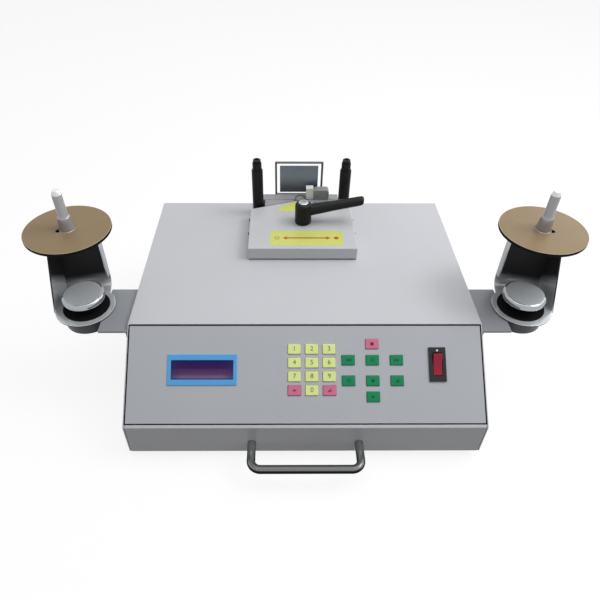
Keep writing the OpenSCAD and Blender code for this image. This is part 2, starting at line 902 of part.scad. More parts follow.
module clamp_knob_right() {
    clamp_knob();
}

module clamp_knob_left() {
    mirror([1, 0, 0])
        clamp_knob();
}

// Square reel motor that hangs below the bracket's top plate, with a pilot ring through it
module reel_motor() {
    top = holder_z - bracket_t;
    end_cap = motor_l / 4;
    chamfer = 4;
    half = motor_w / 2;
    outline = [[-half + chamfer, -half], [half - chamfer, -half], [half, -half + chamfer],
               [half, half - chamfer], [half - chamfer, half], [-half + chamfer, half],
               [-half, half - chamfer], [-half, -half + chamfer]];
    color("darkslategray")
        translate([spindle_x, spindle_y, top])
            difference() {
                union() {
                    translate([0, 0, -end_cap])
                        linear_extrude(end_cap)
                            polygon(outline);
                    translate([0, 0, end_cap - motor_l])
                        linear_extrude(motor_l - 2 * end_cap)
                            square(motor_w - 1, center = true);
                    translate([0, 0, -motor_l])
                        linear_extrude(end_cap)
                            polygon(outline);
                    cylinder(d = pilot_d, h = pilot_h);
                }
                translate([0, 0, pilot_h - shaft_l])
                    cylinder(d = shaft_d + 2 * run_fit, h = shaft_l + 1);
            }
}

module reel_motor_right() {
    reel_motor();
}

module reel_motor_left() {
    mirror([1, 0, 0])
        reel_motor();
}

// Reel disc with the bore for the spindle's collar and a drive notch beside it
module reel_disc() {
    color("tan")
        translate([spindle_x, spindle_y, disc_z])
            difference() {
                cylinder(d = disc_d, h = disc_t);
                translate([0, 0, -1])
                    cylinder(d = collar_d + 2 * run_fit, h = disc_t + 2);
                rotate([0, 0, -30])
                    translate([notch_r, 0, -1])
                        cylinder(d = notch_d, h = disc_t + 2);
            }
}

module reel_disc_right() {
    reel_disc();
}

module reel_disc_left() {
    mirror([1, 0, 0])
        reel_disc();
}

// Turned spindle: motor shaft, flange, collar in the disc, conical hub, shoulder, rod and tip
module spindle() {
    shaft_end = holder_z - bracket_t + pilot_h - shaft_l + 1;
    color("silver")
        translate([spindle_x, spindle_y, 0]) {
            translate([0, 0, shaft_end])
                cylinder(d = shaft_d, h = disc_z - shaft_end);
            translate([0, 0, disc_z - spindle_flange_t])
                cylinder(d = spindle_flange_d, h = spindle_flange_t);
            translate([0, 0, disc_z - spindle_flange_t / 2])
                cylinder(d = collar_d, h = spindle_flange_t / 2 + disc_t);
            translate([0, 0, disc_z + disc_t]) {
                cylinder(d = hub_d, h = hub_step);
                translate([0, 0, hub_step])
                    cylinder(d1 = hub_d, d2 = hub_top_d, h = hub_h - hub_step);
                translate([0, 0, hub_h])
                    cylinder(d1 = hub_top_d, d2 = rod_d, h = shoulder);
                cylinder(d = rod_d, h = spindle_h - spindle_tip);
                translate([0, 0, spindle_h - spindle_tip])
                    cylinder(d1 = rod_d, d2 = spindle_tip_d, h = spindle_tip);
            }
        }
}

module spindle_right() {
    spindle();
}

module spindle_left() {
    mirror([1, 0, 0])
        spindle();
}

// Flat rail on the cover that the gate block slides along
module gate_rail() {
    color("darkgray")
        block([lever_x - rail_w / 2, rail_y, top_z],
              [lever_x + rail_w / 2, rail_y + rail_l, top_z + rail_h]);
}

// Plan of the gate block, drawn in by the given wall
module gate_plan(wall) {
    half = gate_w / 2;
    nose_cut = wall * norm([1, nose_slope]);
    polygon([[wall - half, gate_y + wall], [half - wall, gate_y + wall],
             [half - wall, corner_y + wall * nose_slope - nose_cut], [0, nose_y - nose_cut],
             [wall - half, corner_y + wall * nose_slope - nose_cut]]);
}

// Gate block: a hood with a pointed nose, two ribs along the rail and a boss for the lever's stud
module gate_block() {
    inner_h = gate_h - gate_roof;
    rib_x = rail_w / 2 + slide_gap;
    color("whitesmoke")
        difference() {
            union() {
                difference() {
                    translate([0, 0, gate_z])
                        linear_extrude(gate_h)
                            gate_plan(0);
                    translate([0, 0, gate_z - 1])
                        linear_extrude(inner_h + 1)
                            gate_plan(gate_wall);
                }
                for (side = [-1, 1])
                    translate([lever_x + side * (rib_x + rib_t / 2) - rib_t / 2, gate_y + 1, gate_z])
                        cube([rib_t, gate_len - 2, inner_h + 1]);
                translate([lever_x, lever_y, top_z + rail_h + slide_gap])
                    cylinder(d = lever_boss_d, h = gate_gap + inner_h - rail_h + 1);
            }
            translate([lever_x, lever_y, top_z])
                cylinder(d = lever_stud_d + 2 * run_fit, h = gate_h + 2);
        }
}

// Clamp lever: round hub with its stud and a tapered arm that rises to the right
module clamp_lever() {
    root_d = 18;
    waist_d = 14;
    tip_d = 13;
    waist = lever_len * 0.55;
    reach = lever_len - tip_d / 2;
    stud_z = top_z + rail_h + slide_gap - lever_z;
    color("black")
        translate([lever_x, lever_y, lever_z]) {
            cylinder(d = lever_d, h = lever_h - 4);
            translate([0, 0, lever_h - 4])
                cylinder(d1 = lever_d, d2 = lever_d - 5, h = 4);
            translate([0, 0, lever_h - root_d / 2 - 4])
                rotate([0, -lever_rise, 0]) {
                    hull() {
                        sphere(d = root_d, $fn = 32);
                        translate([waist, 0, 0])
                            sphere(d = waist_d, $fn = 32);
                    }
                    hull() {
                        translate([waist - 1, 0, 0])
                            sphere(d = waist_d, $fn = 32);
                        translate([reach, 0, 0])
                            sphere(d = tip_d, $fn = 32);
                    }
                }
            translate([0, 0, lever_h])
                cylinder(d = lever_d - 9, h = 1.5);
            translate([0, 0, stud_z])
                cylinder(d = lever_stud_d, h = -stud_z + 1);
        }
}

// Fixed pins inside the tape guide posts, each with a wide screw cap on top
module guide_pins() {
    cap_z = top_z + post_h - post_cap_h;
    color("dimgray")
        for (side = [-1, 1])
            translate([side * post_w / 2, post_y, 0]) {
                translate([0, 0, top_z - sheet - nut_t])
                    cylinder(d = post_pin_d, h = sheet + nut_t + post_h - 1);
                translate([0, 0, cap_z])
                    cylinder(d = post_cap_d, h = post_cap_h);
                translate([0, 0, top_z - sheet - nut_t])
                    difference() {
                        cylinder(d = 2 * post_pin_d, h = nut_t, $fn = 6);
                        translate([0, 0, -1])
                            cylinder(d = post_pin_d - 1, h = nut_t + 2);
                    }
            }
}

// Black sleeve that turns on its pin, stepped in near the top
module guide_roller(side) {
    roller_h = post_h - post_cap_h - 2 * slide_gap;
    color("black")
        translate([side * post_w / 2, post_y, top_z + slide_gap])
            difference() {
                union() {
                    cylinder(d = post_d, h = roller_h - post_collar_h);
                    cylinder(d = post_collar_d, h = roller_h);
                }
                translate([0, 0, -1])
                    cylinder(d = post_pin_d + 2 * run_fit, h = roller_h + 2);
            }
}

module guide_roller_right() {
    guide_roller(1);
}

module guide_roller_left() {
    guide_roller(-1);
}

// Rear guide: a bar along the back edge with the sprocket's pocket and bearing bore, and a wedge on
// each side that follows the gate block's nose
module rear_guide() {
    color("lightgray") {
        difference() {
            block([-guide_w / 2, guide_y, top_z], [guide_w / 2, guide_y + guide_d, top_z + guide_h]);
            translate([0, sprocket_y, top_z + sprocket_floor])
                cylinder(r = pocket_r, h = guide_h);
            translate([0, sprocket_y, top_z - 1])
                cylinder(d = sprocket_shaft_d + 2 * run_fit, h = sprocket_floor + 2);
        }
        both_sides()
            guide_wedge();
    }
}

// Wedge before the bar, from beside the sprocket to the tape's slot at the post
module guide_wedge() {
    wedge_end = post_w / 2 - post_d / 2 - tape_gap;
    wedge_back = guide_y - 2 * run_fit;
    translate([0, 0, top_z])
        linear_extrude(guide_h)
            polygon([[wedge_start, guide_y - nose_slope * wedge_start],
                     [wedge_end, guide_y - nose_slope * wedge_end],
                     [wedge_end, wedge_back], [wedge_start, wedge_back]]);
}

// Tape sprocket with its shaft and the slotted code disc below the cover
module tape_sprocket() {
    wheel_z = top_z + sprocket_floor + slide_gap;
    wheel_h = guide_h - sprocket_floor - 2;
    disc_low = top_z - sheet - code_disc_drop;
    code_slots = 12;
    color("silver")
        translate([0, sprocket_y, 0]) {
            translate([0, 0, wheel_z])
                cylinder(d = sprocket_d, h = wheel_h);
            for (i = [0:sprocket_teeth - 1])
                rotate([0, 0, i * 360 / sprocket_teeth])
                    translate([sprocket_d / 2 - tooth_root, 0, wheel_z + wheel_h / 2])
                        rod_x(tooth_d, tooth_root + tooth_l);
            translate([0, 0, disc_low])
                cylinder(d = sprocket_shaft_d, h = wheel_z - disc_low + 1);
            difference() {
                translate([0, 0, disc_low])
                    cylinder(d = code_disc_d, h = 1);
                for (i = [0:code_slots - 1])
                    rotate([0, 0, i * 360 / code_slots])
                        translate([code_disc_d / 2 - 2.5, -0.5, disc_low - 1])
                            cube([1.8, 1, 3]);
            }
        }
}

// Fork-shaped optical sensor below the cover that reads the code disc
module code_sensor() {
    disc_low = top_z - sheet - code_disc_drop;
    fork = 3;
    front = sprocket_y - code_disc_d / 2 - 7;
    color("black")
        difference() {
            block([-6, front, disc_low - fork - 2], [6, front + 10, top_z - sheet]);
            block([-7, front + 5, disc_low - 1], [7, front + 11, disc_low + 2]);
        }
}

// Standing frame at the back edge
module sensor_frame() {
    color("dimgray")
        translate([frame_x, 0, 0])
            difference() {
                block([-frame_w / 2, rear_y - frame_t, top_z], [frame_w / 2, rear_y, top_z + frame_h]);
                block([frame_bar - frame_w / 2, rear_y - frame_t - 1, top_z + guide_h],
                      [frame_w / 2 - frame_bar, rear_y + 1, top_z + frame_h - frame_top_bar]);
            }
}

// Dark pane with a gap all round; its foot behind the sensor head stands on the frame's sill
module sensor_window() {
    half = frame_w / 2 - frame_bar - pane_gap;
    pane_h = frame_h - guide_h - frame_top_bar - pane_gap;
    color("darkslategray")
        translate([frame_x, rear_y - frame_t / 2, top_z + guide_h]) {
            block([-half, -pane_t / 2, pane_rise], [half, pane_t / 2, pane_h]);
            block([half - pane_foot_w, -pane_t / 2, 0], [half, pane_t / 2, pane_rise + 1]);
        }
}

// Grey sensor head on the rear guide, with a rounded top
module sensor_head() {
    low = top_z + guide_h;
    color("slategray")
        translate([sensor_x, 0, 0])
            difference() {
                union() {
                    block([-sensor_w / 2, guide_y, low], [sensor_w / 2, guide_y + sensor_d,
                          low + sensor_h - sensor_round]);
                    block([sensor_round - sensor_w / 2, guide_y, low],
                          [sensor_w / 2 - sensor_round, guide_y + sensor_d, low + sensor_h]);
                    for (side = [-1, 1])
                        translate([side * (sensor_w / 2 - sensor_round), guide_y,
                                   low + sensor_h - sensor_round])
                            rod_y(2 * sensor_round, sensor_d);
                }
                translate([-sensor_w / 4, guide_y - 1, low + 5])
                    rod_y(4, 3);
            }
}

// Clear light guide beside the sensor head
module sensor_prism() {
    low = top_z + guide_h;
    right = sensor_x - sensor_w / 2;
    color("white")
        block([right - prism_w, guide_y + 1, low], [right, guide_y + sensor_d - 2, low + prism_h]);
}

// Main board on four pillars, with its processor, drivers and capacitors
module main_board() {
    low = tray_z + sheet;
    board_z = low + standoff_h;
    chip = main_board_w / 7;
    driver_w = main_board_w / 6;
    driver_d = main_board_d / 10;
    driver_h = main_board_d / 5;
    color("darkgreen")
        translate([main_board_x, inside_y, 0]) {
            block([0, 0, board_z], [main_board_w, main_board_d, board_z + board_t]);
            for (x = [standoff_d, main_board_w - standoff_d], y = [standoff_d, main_board_d - standoff_d])
                translate([x, y, low])
                    cylinder(d = standoff_d, h = standoff_h + board_t / 2);
            translate([main_board_w * 0.4, main_board_d * 0.4, board_z])
                cube([chip, chip, board_t + chip / 7]);
            for (x = [main_board_w * 0.14, main_board_w * 0.7])
                translate([x, main_board_d * 0.18, board_z])
                    cube([driver_w, driver_d, board_t + driver_h]);
            for (x = [0.2, 0.34, 0.74] * main_board_w)
                translate([x, main_board_d * 0.82, board_z])
                    cylinder(d = driver_d * 1.2, h = board_t + driver_h * 1.1);
        }
}

// Boxed power supply on the tray's bottom
module power_supply() {
    low = tray_z + sheet;
    left = inlet_x - supply_w / 2;
    slot_w = supply_w / supply_slots / 3;
    slot_l = supply_d / 2;
    slot_depth = slot_w / 2;
    color("silver")
        difference() {
            block([left, inside_y, low], [left + supply_w, inside_y + supply_d, low + supply_h]);
            for (i = [1:supply_slots])
                translate([left + i * supply_w / (supply_slots + 1) - slot_w / 2,
                           inside_y + supply_d / 4, low + supply_h - slot_depth])
                    cube([slot_w, slot_l, slot_w]);
        }
}

// The inlet's outline through the rear wall
module inlet_outline(l, w, h) {
    corner = 5;
    rotate([90, 0, 180])
        linear_extrude(l)
            polygon([[-w / 2, -h / 2], [w / 2, -h / 2], [w / 2, h / 2 - corner],
                     [w / 2 - corner, h / 2], [corner - w / 2, h / 2], [-w / 2, h / 2 - corner]]);
}

// Mains inlet with a flange outside the rear wall and three blades in its socket
module power_inlet() {
    blades = [[-7, -2], [0, 2], [7, -2]];
    blade_l = 9;
    color("black")
        translate([inlet_x, rear_y, inlet_z]) {
            difference() {
                union() {
                    translate([0, -inlet_depth, 0])
                        inlet_outline(inlet_depth + 1, inlet_w, inlet_h);
                    block([-inlet_w / 2 - inlet_flange, 0, -inlet_h / 2 - inlet_flange],
                          [inlet_w / 2 + inlet_flange, inlet_lip, inlet_h / 2 + inlet_flange]);
                }
                translate([0, 4 - inlet_depth, 0])
                    inlet_outline(inlet_depth + inlet_lip, inlet_w - 4, inlet_h - 4);
            }
            for (b = blades)
                translate([b[0] - 1, 3 - inlet_depth, b[1] - 2])
                    cube([2, blade_l, 4]);
        }
}

base_tray();
top_cover();
control_panel();
lcd_bezel();
lcd_glass();
lcd_board();
keypad_board();
switch_housing();
switch_rocker();
front_handle();
rubber_feet();
machine_screws();
arm_left();
arm_right();
bracket_left();
bracket_right();
clamp_knob_left();
clamp_knob_right();
reel_motor_left();
reel_motor_right();
reel_disc_left();
reel_disc_right();
spindle_left();
spindle_right();
gate_rail();
gate_block();
clamp_lever();
guide_pins();
guide_roller_left();
guide_roller_right();
rear_guide();
sensor_frame();
sensor_window();
sensor_head();
sensor_prism();
tape_sprocket();
code_sensor();
main_board();
power_supply();
power_inlet();
for (k = KEYS)
    key_cap(k);
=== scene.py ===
import json
import math
from functools import partial

import bmesh
import bpy
from mathutils import Matrix, Vector


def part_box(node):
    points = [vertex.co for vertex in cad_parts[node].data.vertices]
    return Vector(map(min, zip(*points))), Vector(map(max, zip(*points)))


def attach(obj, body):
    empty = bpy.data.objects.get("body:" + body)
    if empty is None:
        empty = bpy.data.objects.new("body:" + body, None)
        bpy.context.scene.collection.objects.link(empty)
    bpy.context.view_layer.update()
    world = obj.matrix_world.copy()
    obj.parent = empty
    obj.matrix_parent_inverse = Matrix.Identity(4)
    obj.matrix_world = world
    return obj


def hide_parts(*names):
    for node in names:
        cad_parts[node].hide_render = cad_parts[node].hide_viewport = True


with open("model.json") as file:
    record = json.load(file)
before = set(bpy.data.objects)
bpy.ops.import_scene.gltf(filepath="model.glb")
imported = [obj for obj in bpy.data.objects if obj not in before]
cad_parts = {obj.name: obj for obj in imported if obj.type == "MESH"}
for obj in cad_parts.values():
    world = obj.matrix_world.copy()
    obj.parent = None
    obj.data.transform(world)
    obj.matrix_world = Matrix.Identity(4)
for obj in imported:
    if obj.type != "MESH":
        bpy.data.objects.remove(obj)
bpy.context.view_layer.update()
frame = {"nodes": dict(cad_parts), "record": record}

# Studio: a pale floor that stays white behind the machine, a small and a wide lamp high at the right, which
# give the shadows, a broad lamp overhead and a weak one low behind the right holder. The camera stands
# where the photograph was taken from.
scene = bpy.context.scene
scene.view_settings.view_transform = "Standard"


def add_node(tree, kind, sockets=None, **settings):
    """Adds a node; each value in sockets is a number to set or an output to link."""
    node = tree.nodes.new(kind)
    for name, value in settings.items():
        setattr(node, name, value)
    for key, value in (sockets or {}).items():
        if isinstance(value, bpy.types.NodeSocket):
            tree.links.new(value, node.inputs[key])
        else:
            node.inputs[key].default_value = value
    return node


def calc(tree, operation, *values):
    """A Math node on these values; gives its output."""
    return add_node(tree, "ShaderNodeMath", dict(enumerate(values)), operation=operation).outputs[0]


def seen_directly(tree):
    """1 where the eye, a mirror or a clear piece looks at it, 0 where it lights something."""
    path = add_node(tree, "ShaderNodeLightPath").outputs
    mirrored = calc(tree, "MAXIMUM", path["Is Glossy Ray"], path["Is Transmission Ray"])
    return calc(tree, "MAXIMUM", path["Is Camera Ray"], mirrored)


air_light = 0.32
air = bpy.data.worlds.new("studio_air")
air.use_nodes = True
scene.world = air
air_strength = calc(air.node_tree, "MULTIPLY_ADD", seen_directly(air.node_tree), 1 - air_light, air_light)
air_shader = air.node_tree.nodes["Background"]
air_shader.inputs["Color"].default_value = (1, 1, 1, 1)
air.node_tree.links.new(air_strength, air_shader.inputs["Strength"])

floor_half, floor_tone, floor_glow = 9.0, 0.17, 0.86
floor_corners = [(x * floor_half, y * floor_half, 0) for x, y in ((-1, -1), (1, -1), (1, 1), (-1, 1))]
floor_mesh = bpy.data.meshes.new("studio_floor")
floor_mesh.from_pydata(floor_corners, [], [(0, 1, 2, 3)])
floor_paper = bpy.data.materials.new("floor_paper")
floor_paper.use_nodes = True
paper_tree = floor_paper.node_tree
paper_tree.nodes.clear()
paper = add_node(paper_tree, "ShaderNodeBsdfDiffuse", {"Color": (floor_tone, floor_tone, floor_tone, 1)})
glow = add_node(paper_tree, "ShaderNodeEmission",
                {"Strength": calc(paper_tree, "MULTIPLY", seen_directly(paper_tree), floor_glow)})
both = add_node(paper_tree, "ShaderNodeAddShader", {0: paper.outputs[0], 1: glow.outputs[0]})
add_node(paper_tree, "ShaderNodeOutputMaterial", {"Surface": both.outputs[0]})
floor_mesh.materials.append(floor_paper)
studio_floor = bpy.data.objects.new("studio_floor", floor_mesh)
scene.collection.objects.link(studio_floor)


def soft_lamp(name, place, aim, size, power):
    """A square lamp at a place, turned towards the aim."""
    lamp = bpy.data.lights.new(name, "AREA")
    lamp.size = size
    lamp.energy = power
    stand = bpy.data.objects.new(name, lamp)
    stand.location = place
    stand.rotation_euler = (Vector(aim) - Vector(place)).to_track_quat("-Z", "Y").to_euler()
    scene.collection.objects.link(stand)


machine_middle, right_holder = (0, 0.05, 0.13), (0.2, 0.05, 0.13)
key_place = (1.25, 0.02, 1.7)
soft_lamp("overhead_lamp", (0.0, 0.10, 1.9), machine_middle, size=1.5, power=9.5)
soft_lamp("key_lamp", key_place, machine_middle, size=0.7, power=10)
soft_lamp("wide_lamp", key_place, machine_middle, size=2.0, power=11.5)
soft_lamp("side_lamp", (0.80, 0.55, 0.45), right_holder, size=0.5, power=1.3)

focal_px, frame_px, middle_px = 544.12, 600, (287.33, 308.87)
camera_place = (-0.02622, -0.53143, 0.57669)
pitch, yaw, roll = (math.radians(turn) for turn in (42.38, 0.61, 0.40))
ahead = Vector((math.sin(yaw) * math.cos(pitch), math.cos(yaw) * math.cos(pitch), -math.sin(pitch)))
level = Vector((math.cos(yaw), -math.sin(yaw), 0))
above = level.cross(ahead)
right = math.cos(roll) * level + math.sin(roll) * above
upward = math.cos(roll) * above - math.sin(roll) * level
camera_turn = Matrix((right, upward, -ahead)).transposed().to_4x4()
lens = bpy.data.cameras.new("photo_camera")
lens.sensor_width = 36
lens.lens = focal_px * lens.sensor_width / frame_px
lens.shift_x = 0.5 - middle_px[0] / frame_px
lens.shift_y = middle_px[1] / frame_px - 0.5
lens.clip_start = 0.01
camera = bpy.data.objects.new("photo_camera", lens)
camera.matrix_world = Matrix.Translation(camera_place) @ camera_turn
scene.collection.objects.link(camera)
scene.camera = camera

# Base tray: bottom, front face and rear wall, folded from one steel sheet and powder coated light
# grey. Its front strip and lip carry the panel's lower edge, and the cover is screwed to its flanges.
node_body = {n: b for b, members in frame["record"]["behaviour"]["bodies"].items() for n in members}
node_slot = {part["node"]: part["material_slot"] for part in frame["record"]["subparts"]}


def tint(r, g, b):
    """A colour as the eye reads it, 0 to 255, in the renderer's linear values."""
    return tuple(((c / 255 + 0.055) / 1.055) ** 2.4 if c > 10 else c / 3294.6 for c in (r, g, b)) + (1.0,)


def on_piece(tree):
    """The places and directions on a piece."""
    return add_node(tree, "ShaderNodeTexCoord").outputs


def rounded_edge(tree):
    """1 on the rounded edges of a piece, 0 elsewhere."""
    return add_node(tree, "ShaderNodeAttribute", attribute_name="edge").outputs["Fac"]


def noise(tree, place, scale, detail):
    """Noise over a place, from 0 to 1."""
    return add_node(tree, "ShaderNodeTexNoise",
                    {"Vector": place, "Scale": scale, "Detail": detail}).outputs[0]


def spread(tree, value, low, high, least=0.0, most=1.0, run="LINEAR"):
    """A value that goes from least to most while the given one goes from low to high."""
    return add_node(tree, "ShaderNodeMapRange",
                    {"Value": value, "From Min": low, "From Max": high, "To Min": least, "To Max": most},
                    interpolation_type=run).outputs[0]


def bumped(tree, height, strength, distance):
    """The direction of a surface with this relief."""
    return add_node(tree, "ShaderNodeBump",
                    {"Height": height, "Strength": strength, "Distance": distance}).outputs[0]


def feed(tree, node, outputs):
    """Links each output to the node's input of that name."""
    for socket, output in outputs.items():
        tree.links.new(output, node.inputs[socket])


def group_tree(name, kind, inputs, outputs):
    """An empty node group with these named sockets; gives it, its inputs and its output node."""
    tree = bpy.data.node_groups.new(name, kind)
    for direction, sockets in (("INPUT", inputs), ("OUTPUT", outputs)):
        for socket, socket_kind in sockets.items():
            tree.interface.new_socket(socket, in_out=direction, socket_type="NodeSocket" + socket_kind)
    return tree, add_node(tree, "NodeGroupInput").outputs, add_node(tree, "NodeGroupOutput")


satin_skin, given, satin_out = group_tree(
    "satin_skin", "ShaderNodeTree",
    {"Colour": "Color", "Grain": "Float", "Cloud": "Float", "Tone": "Float", "Low": "Float",
     "High": "Float", "Edge": "Float"},
    {"Colour": "Color", "Roughness": "Float", "Height": "Float"})
skin_calc = partial(calc, satin_skin)
skin_place = on_piece(satin_skin)["Object"]
grain = noise(satin_skin, skin_place, given["Grain"], detail=2.0)
cloud = noise(satin_skin, skin_place, given["Cloud"], detail=3.0)
# Rounded edges are lightened with the cloud noise: partly wear, partly a painted highlight.
wear_and_edge_sheen = skin_calc("MULTIPLY", rounded_edge(satin_skin), skin_calc("MULTIPLY", given["Edge"], cloud))
grain_share, mean_mottle = 0.6, 0.8
mottle = skin_calc("SUBTRACT", skin_calc("MULTIPLY_ADD", grain, grain_share, cloud), mean_mottle)
shade = skin_calc("ADD", skin_calc("MULTIPLY_ADD", mottle, given["Tone"], 1.0), wear_and_edge_sheen)
toned = add_node(satin_skin, "ShaderNodeHueSaturation", {"Color": given["Colour"], "Value": shade}).outputs[0]
skin_gloss = spread(satin_skin, cloud, 0.35, 0.65, given["Low"], given["High"])
feed(satin_skin, satin_out, {"Colour": toned, "Roughness": skin_gloss, "Height": grain})


def new_finish(name):
    """A new finish; gives it, its nodes and its shader."""
    finish = bpy.data.materials.new(name)
    finish.use_nodes = True
    return finish, finish.node_tree, finish.node_tree.nodes["Principled BSDF"]


def set_sockets(shader, values):
    """Sets plain values on the shader's sockets, whose names are given in small letters."""
    for socket, value in values.items():
        shader.inputs[socket.replace("_", " ").title().replace("Ior", "IOR")].default_value = value


def satin_finish(name, colour, grain=900.0, cloud=12.0, tone=0.06, gloss=(0.36, 0.5), edge=0.12,
                 bump=0.06, **shader_sockets):
    """A painted or moulded finish with fine grain, slow cloudiness and slightly bright edges, partly wear and
    partly a painted highlight.
    """
    finish, tree, shader = new_finish(name)
    skin = add_node(tree, "ShaderNodeGroup",
                    {"Colour": colour, "Grain": grain, "Cloud": cloud, "Tone": tone,
                     "Low": gloss[0], "High": gloss[1], "Edge": edge}, node_tree=satin_skin).outputs
    feed(tree, shader, {"Base Color": skin["Colour"], "Roughness": skin["Roughness"],
                        "Normal": bumped(tree, skin["Height"], bump, distance=0.0003)})
    set_sockets(shader, shader_sockets)
    return finish


def dressed(mesh, *finishes):
    """The mesh with its finishes."""
    for finish in finishes:
        mesh.materials.append(finish)
    return mesh


def as_piece(name, mesh, *finishes):
    """An object for a finished mesh, at the origin, with its finishes."""
    piece = bpy.data.objects.new(name, dressed(mesh, *finishes))
    scene.collection.objects.link(piece)
    return piece


def as_mesh(bm, name):
    """A plain mesh of this form."""
    mesh = bpy.data.meshes.new(name)
    bm.to_mesh(mesh)
    bm.free()
    return mesh


def evaluated(holder):
    """The plain mesh of an object after its modifiers; the object is removed."""
    bpy.context.view_layer.update()
    mesh = bpy.data.meshes.new_from_object(holder.evaluated_get(bpy.context.evaluated_depsgraph_get()))
    bpy.data.objects.remove(holder)
    return mesh


def with_modifiers(name, mesh, *modifiers):
    """The mesh after these modifiers, given as (kind, settings), as a plain mesh."""
    holder = as_piece(name, mesh)
    for kind, settings in modifiers:
        modifier = holder.modifiers.new(kind.lower(), kind)
        for key, value in settings.items():
            setattr(modifier, key, value)
    return evaluated(holder)


def smooth(mesh, angle=35):
    """Smooth shading, with edges kept sharp above the angle."""
    mesh.polygons.foreach_set("use_smooth", [True] * len(mesh.polygons))
    mesh.set_sharp_from_angle(angle=math.radians(angle))
    return mesh


def softened(name, node, rounding, steps=2):
    """A copy of a CAD node with its sharp edges rounded; the rounded faces carry the edge value."""
    same_point, same_plane, sharp_corner = 2e-6, math.radians(0.3), math.radians(30)
    bm = bmesh.new()
    bm.from_mesh(frame["nodes"][node].data)
    bmesh.ops.remove_doubles(bm, verts=bm.verts, dist=same_point)
    bmesh.ops.dissolve_limit(bm, angle_limit=same_plane, verts=bm.verts, edges=bm.edges)
    bmesh.ops.triangulate(bm, faces=[f for f in bm.faces if len(f.verts) > 4])
    edge_value = bm.faces.layers.float.new("edge")
    sharp = [e for e in bm.edges if len(e.link_faces) == 2 and e.calc_face_angle(0) > sharp_corner]
    rounded = bmesh.ops.bevel(bm, geom=sharp, offset=rounding, offset_type="OFFSET", segments=steps,
                              profile=0.5, affect="EDGES", clamp_overlap=False, loop_slide=False)
    for face in rounded["faces"]:
        face[edge_value] = 1.0
    mesh = as_mesh(bm, name)
    for left_over in ("custom_normal", "sharp_edge", "sharp_face"):
        if left_over in mesh.attributes:
            mesh.attributes.remove(mesh.attributes[left_over])
    return with_modifiers(name, smooth(mesh), ("WEIGHTED_NORMAL", {"keep_sharp": True}))


def stands_for(piece, *nodes):
    """The piece moves with the nodes' body and is shown in their place."""
    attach(piece, node_body[nodes[0]])
    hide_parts(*nodes)


def shown(name, node, finish, rounding, steps=2):
    """A CAD node shown with its edges rounded, in its finish."""
    stands_for(as_piece(name, softened(name, node, rounding, steps), finish), node)


sheet_grey = satin_finish("sheet_grey", tint(202, 203, 208))
shown("tray_sheet", "base_tray", sheet_grey, rounding=0.0007)

# Rubber feet: four black moulded feet, each held by one screw in a sunk hole, on the tray's bottom.
# The rubber is matt, with a faint bloom.
foot_black = satin_finish("foot_black", tint(44, 44, 46), grain=500.0, tone=0.12, gloss=(0.75, 0.9), bump=0.1)
shown("foot_set", "rubber_feet", foot_black, rounding=0.0008)

# Machine screws: zinc plated pan heads with a cross recess, through the cover's sides, the arms, the
# feet and the handle's ends, with hexagon nuts inside where the sheet isn't tapped.
sides = {"left": -1, "right": 1}
cover_face, cover_screw_y, cover_screw_z = 0.210, (-0.11375, 0.01925, 0.15225), 0.0198
arm_face, arm_back = 0.213, 0.2082
arm_spots = [(sign, y, z) for sign in sides.values() for y in (-0.05975, -0.01075) for z in (0.108, 0.090)]
foot_seat, tray_floor = 0.005, 0.0118
foot_spots = [(sign * 0.172, y) for sign in sides.values() for y in (-0.12575, 0.16425)]
handle_half, handle_height, handle_seat = 0.063, 0.0285, -0.16195
screw_sets = {
    "cover": ({"head_radius": 0.0030, "head_height": 0.0020, "shank_radius": 0.0015, "shank_length": 0.008},
              [((sign * cover_face, y, cover_screw_z), (sign, 0, 0))
               for sign in sides.values() for y in cover_screw_y]),
    "arm": ({"head_radius": 0.00475, "head_height": 0.0030, "shank_radius": 0.0025, "shank_length": 0.0098},
            [((sign * arm_face, y, z), (sign, 0, 0)) for sign, y, z in arm_spots]),
    "foot": ({"head_radius": 0.0040, "head_height": 0.0025, "shank_radius": 0.0020, "shank_length": 0.0108},
             [((x, y, foot_seat), (0, 0, -1)) for x, y in foot_spots]),
    "handle": ({"head_radius": 0.0045, "head_height": 0.0035, "shank_radius": 0.0025, "shank_length": 0.0138},
               [((sign * handle_half, handle_seat, handle_height), (0, 1, 0)) for sign in sides.values()]),
}
nut_sets = {
    "arm": ({"radius": 0.0050, "height": 0.0030, "bore": 0.00265},
            [((sign * arm_back, y, z), (-sign, 0, 0)) for sign, y, z in arm_spots]),
    "foot": ({"radius": 0.0040, "height": 0.0030, "bore": 0.00215},
             [((x, y, tray_floor), (0, 0, 1)) for x, y in foot_spots]),
}


def geometry_tree(name, *sizes):
    """A Geometry Nodes tree on a set of points, with a finish and these sizes as its inputs."""
    return group_tree(name, "GeometryNodeTree",
                      {"Geometry": "Geometry", "Finish": "Material", **{size: "Float" for size in sizes}},
                      {"Geometry": "Geometry"})


def moved(tree, geometry, height, turn=0):
    """The geometry lifted by a height and turned about Z, in degrees."""
    lift = add_node(tree, "ShaderNodeCombineXYZ", {"Z": height}).outputs[0]
    return add_node(tree, "GeometryNodeTransform", {"Geometry": geometry, "Translation": lift,
                                                    "Rotation": (0, 0, math.radians(turn))}).outputs[0]


def joined(tree, *parts):
    """These geometries as one."""
    join = add_node(tree, "GeometryNodeJoinGeometry")
    for part in parts:
        tree.links.new(part, join.inputs[0])
    return join.outputs[0]


